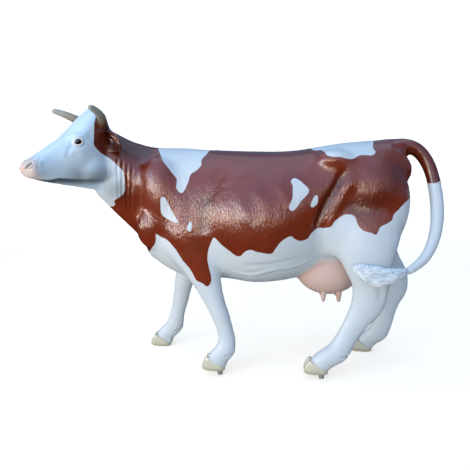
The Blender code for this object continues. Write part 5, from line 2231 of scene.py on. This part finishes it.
@dataclass(frozen=True)
class SoftLight:
    """A rectangular soft light.

    Attributes:
        name: what it is.
        place: its middle.
        size: width and height of its face.
        watts: its power.
        colour: of its light.
        look: the point that it faces.
        mirrored: whether gloss paint shows it.
        lights: whether it lights matt surfaces.
    """

    name: str
    place: tuple[float, float, float]
    size: tuple[float, float]
    watts: float
    colour: str
    look: tuple[float, float, float]
    mirrored: bool = True
    lights: bool = True

    def hang(self) -> None:
        """Puts the light in the scene."""
        data = bpy.data.lights.new(self.name, "AREA")
        data.shape = "RECTANGLE"
        data.size, data.size_y = self.size
        data.energy = self.watts
        data.color = linear(self.colour)[:3]
        made = bpy.data.objects.new(self.name, data)
        bpy.context.scene.collection.objects.link(made)
        made.location = self.place
        made.rotation_euler = (Vector(self.look) - Vector(self.place)).to_track_quat("-Z", "Y").to_euler()
        made.visible_camera = False
        made.visible_glossy = self.mirrored
        made.visible_diffuse = self.lights


@dataclass(frozen=True)
class Studio:
    """A pale floor that sweeps up behind, a sky for the gloss to mirror, soft lights and a camera.

    Attributes:
        eye: where the camera stands.
        aim: the way it looks.
        lens: its focal length, in mm on a 36 mm frame.
        half_width: of the floor.
        front: the floor's near edge.
        bend: where the floor starts to rise, the radius of the bend, and the backdrop's height.
        lights: the soft lights; the low windows streak the flank, the ground glow warms the belly.
    """

    eye: tuple[float, float, float] = (0.2216, -2.8162, 1.285)
    aim: tuple[float, float, float] = (-0.0879, 0.9847, -0.1507)
    lens: float = 35.16
    half_width: float = 12.0
    front: float = -9.0
    bend: tuple[float, float, float] = (4.0, 2.0, 9.0)
    lights: tuple[SoftLight, ...] = (
        SoftLight("roof", (0.0, 0.2, 4.2), (5.0, 3.0), 40, "BFD8F4", (0, 0, 1)),
        SoftLight("low_window", (-3.6, -7.5, 1.85), (8.0, 0.32), 245, "FFE9D0", (0, 0, 1.05)),
        SoftLight("side_window", (-5.0, -4.6, 2.6), (2.4, 2.0), 108, "C8E6FF", (0, 0, 0.9)),
        SoftLight("corner_window", (-7.2, -2.4, 1.85), (5.5, 0.32), 225, "FFEBD6", (0, 0, 1.05), True, False),
        SoftLight("ground_glow", (-4.5, -3.0, 0.30), (5.0, 0.4), 55, "FFD2A0", (0.3, 0, 0.4), False),
    )

    def sweep(self) -> None:
        """Lays the floor and curves it up behind the cow."""
        start, radius, height = self.bend
        outline = [(self.front, 0.0), (start, 0.0)]
        for step in range(1, 13):
            angle = math.pi / 2 * step / 12
            outline.append((start + radius * math.sin(angle), radius - radius * math.cos(angle)))
        outline.append((start + radius, height))
        mesh = bmesh.new()
        edges = (-self.half_width, self.half_width)
        near, far = ([mesh.verts.new((x, y, z)) for y, z in outline] for x in edges)
        for i in range(len(outline) - 1):
            mesh.faces.new((near[i], far[i], far[i + 1], near[i + 1]))
        floor = from_bmesh(mesh, "studio_sweep")
        floor.data.shade_smooth()
        # matt paper: one even pale field, with a soft shadow
        made, tree = empty_material("pale_paper")
        paper = {
            "Base Color": linear("EADDC9"),
            "Roughness": 0.9,
            "Specular IOR Level": 0.1,
            "Emission Color": linear("FFFFFF"),
        }
        seen = add_node(tree, "LightPath", out="Is Camera Ray")
        glow = add_node(tree, "Math", {"operation": "MULTIPLY", 1: 0.55}, {0: seen})
        surface = add_node(tree, "BsdfPrincipled", paper, {"Emission Strength": glow})
        add_node(tree, "OutputMaterial", links={"Surface": surface})
        floor.data.materials.append(made)
        floor.visible_glossy = False

    def sky(self) -> None:
        """Hangs a sky that only the cow sees: pale in front, blue behind and above, brown below."""
        made = bpy.data.worlds.new("pale_sky")
        made.use_nodes = True
        tree = made.node_tree
        tree.nodes.clear()
        direction = add_node(tree, "TexCoord", out="Generated")
        rise = add_node(tree, "SeparateXYZ", links={0: direction}, out="Z")
        front, window = (
            add_node(tree, "VectorMath", {"operation": "DOT_PRODUCT", 1: goal}, {0: direction}, "Value")
            for goal in ((-0.6, -0.8, 0.0), (-0.30, -0.78, 0.55))
        )
        facing, high, above = (
            add_node(tree, "MapRange", {"From Min": start, "From Max": end}, {"Value": value})
            for value, start, end in ((front, -0.5, 0.4), (rise, 0.02, 0.55), (rise, 0.03, 0.12))
        )
        low = add_node(tree, "Mix", MIXED | {6: linear("7BA0EC"), 7: linear("F2EEEC")}, {0: facing}, 2)
        sky = add_node(tree, "Mix", MIXED | {7: linear("9CC0EE")}, {0: high, 6: low}, 2)
        colour = add_node(tree, "Mix", MIXED | {6: linear("3B241A")}, {0: above, 7: sky}, 2)
        brighter = {"From Min": 0.40, "From Max": 0.95, "To Min": 0.45, "To Max": 1.85}
        strength = add_node(tree, "MapRange", brighter, {"Value": window})
        glow = add_node(tree, "Background", links={"Color": colour, "Strength": strength})
        plain = add_node(tree, "Background", {"Color": linear("F6F8FA"), "Strength": 1.0})
        seen = add_node(tree, "LightPath", out="Is Camera Ray")
        both = add_node(tree, "MixShader", links={0: seen, 1: glow, 2: plain})
        add_node(tree, "OutputWorld", links={"Surface": both})
        bpy.context.scene.world = made

    def camera(self) -> None:
        """Sets the camera at the cow's left, a little above its eye."""
        data = bpy.data.cameras.new("camera")
        data.sensor_width = 36
        data.lens = self.lens
        made = bpy.data.objects.new("camera", data)
        bpy.context.scene.collection.objects.link(made)
        made.location = self.eye
        made.rotation_euler = Vector(self.aim).to_track_quat("-Z", "Y").to_euler()
        bpy.context.scene.camera = made

    def build(self) -> None:
        """Sets up the studio."""
        self.sweep()
        self.sky()
        self.camera()
        for light in self.lights:
            light.hang()
        bpy.context.scene.view_settings.view_transform = "Standard"


class Finish(Enum):
    """The plain finishes, each an enamel on its own piece."""

    # grey-green enamel, browner at the root: a soft light runs along the horn
    horn = PlainPaint("horn_gloss_enamel", "A2A598", "66492F", 0.20, 12, 0.3, "root_by")
    # warm white enamel on the lids, greyer at the tear duct: a pale ring round the dark eye
    lid = PlainPaint("lid_gloss_enamel", "F0EAE8", "6A5F62", 0.22, 14, 0.2, "duct_by")
    # pale grey-green enamel, darker at the sole: one small highlight on each toe
    hoof = PlainPaint("hoof_gloss_enamel", "C6C3AC", "A5A189", 0.20, 10, 0.5, "low_by")
    # grey enamel over steel: so dull that the peg takes no highlight
    peg = PlainPaint("peg_grey_enamel_over_steel", "A2A4A4", "8B8E8E", 0.38, 6, 0.1)
    # pink-beige enamel: the same as the udder's in the skin
    udder = PlainPaint("udder_gloss_enamel", "D0B5AA", "C29A8A", 0.30, 40, 0.3)
    # white enamel with blue-grey painted shade, laid by the same grain that raises the hair relief
    switch = PlainPaint("switch_gloss_enamel", "E2EBEF", "A6B7C1", 0.34, 4, 1.6, "", (0.2, 1.0, 0.6))


def main() -> None:
    """Builds the cow and the studio, and reports each piece."""
    logging.basicConfig(level=logging.INFO, format="%(message)s")
    bpy.ops.object.select_all(action="DESELECT")
    coat, eye = CoatPaint().material(), EyePaint().material()
    paint = {finish.name: finish.value.material() for finish in Finish}
    Skin().build(coat)
    for side in (LEFT, RIGHT):
        Horn(side).build(paint["horn"])
        Ear(side).build(coat)
        Eye(side).build(eye)
        Lids(side).build(paint["lid"])
    for foot in Foot:
        Hoof(foot).build(paint["hoof"])
        if foot.value[2] > 0:
            Peg(foot).build(paint["peg"])
    for end in ("fore", "hind"):
        for side in (LEFT, RIGHT):
            Teat(end, side).build(paint["udder"])
    Switch().build(paint["switch"])
    Studio().build()


if __name__ == "__main__":
    main()
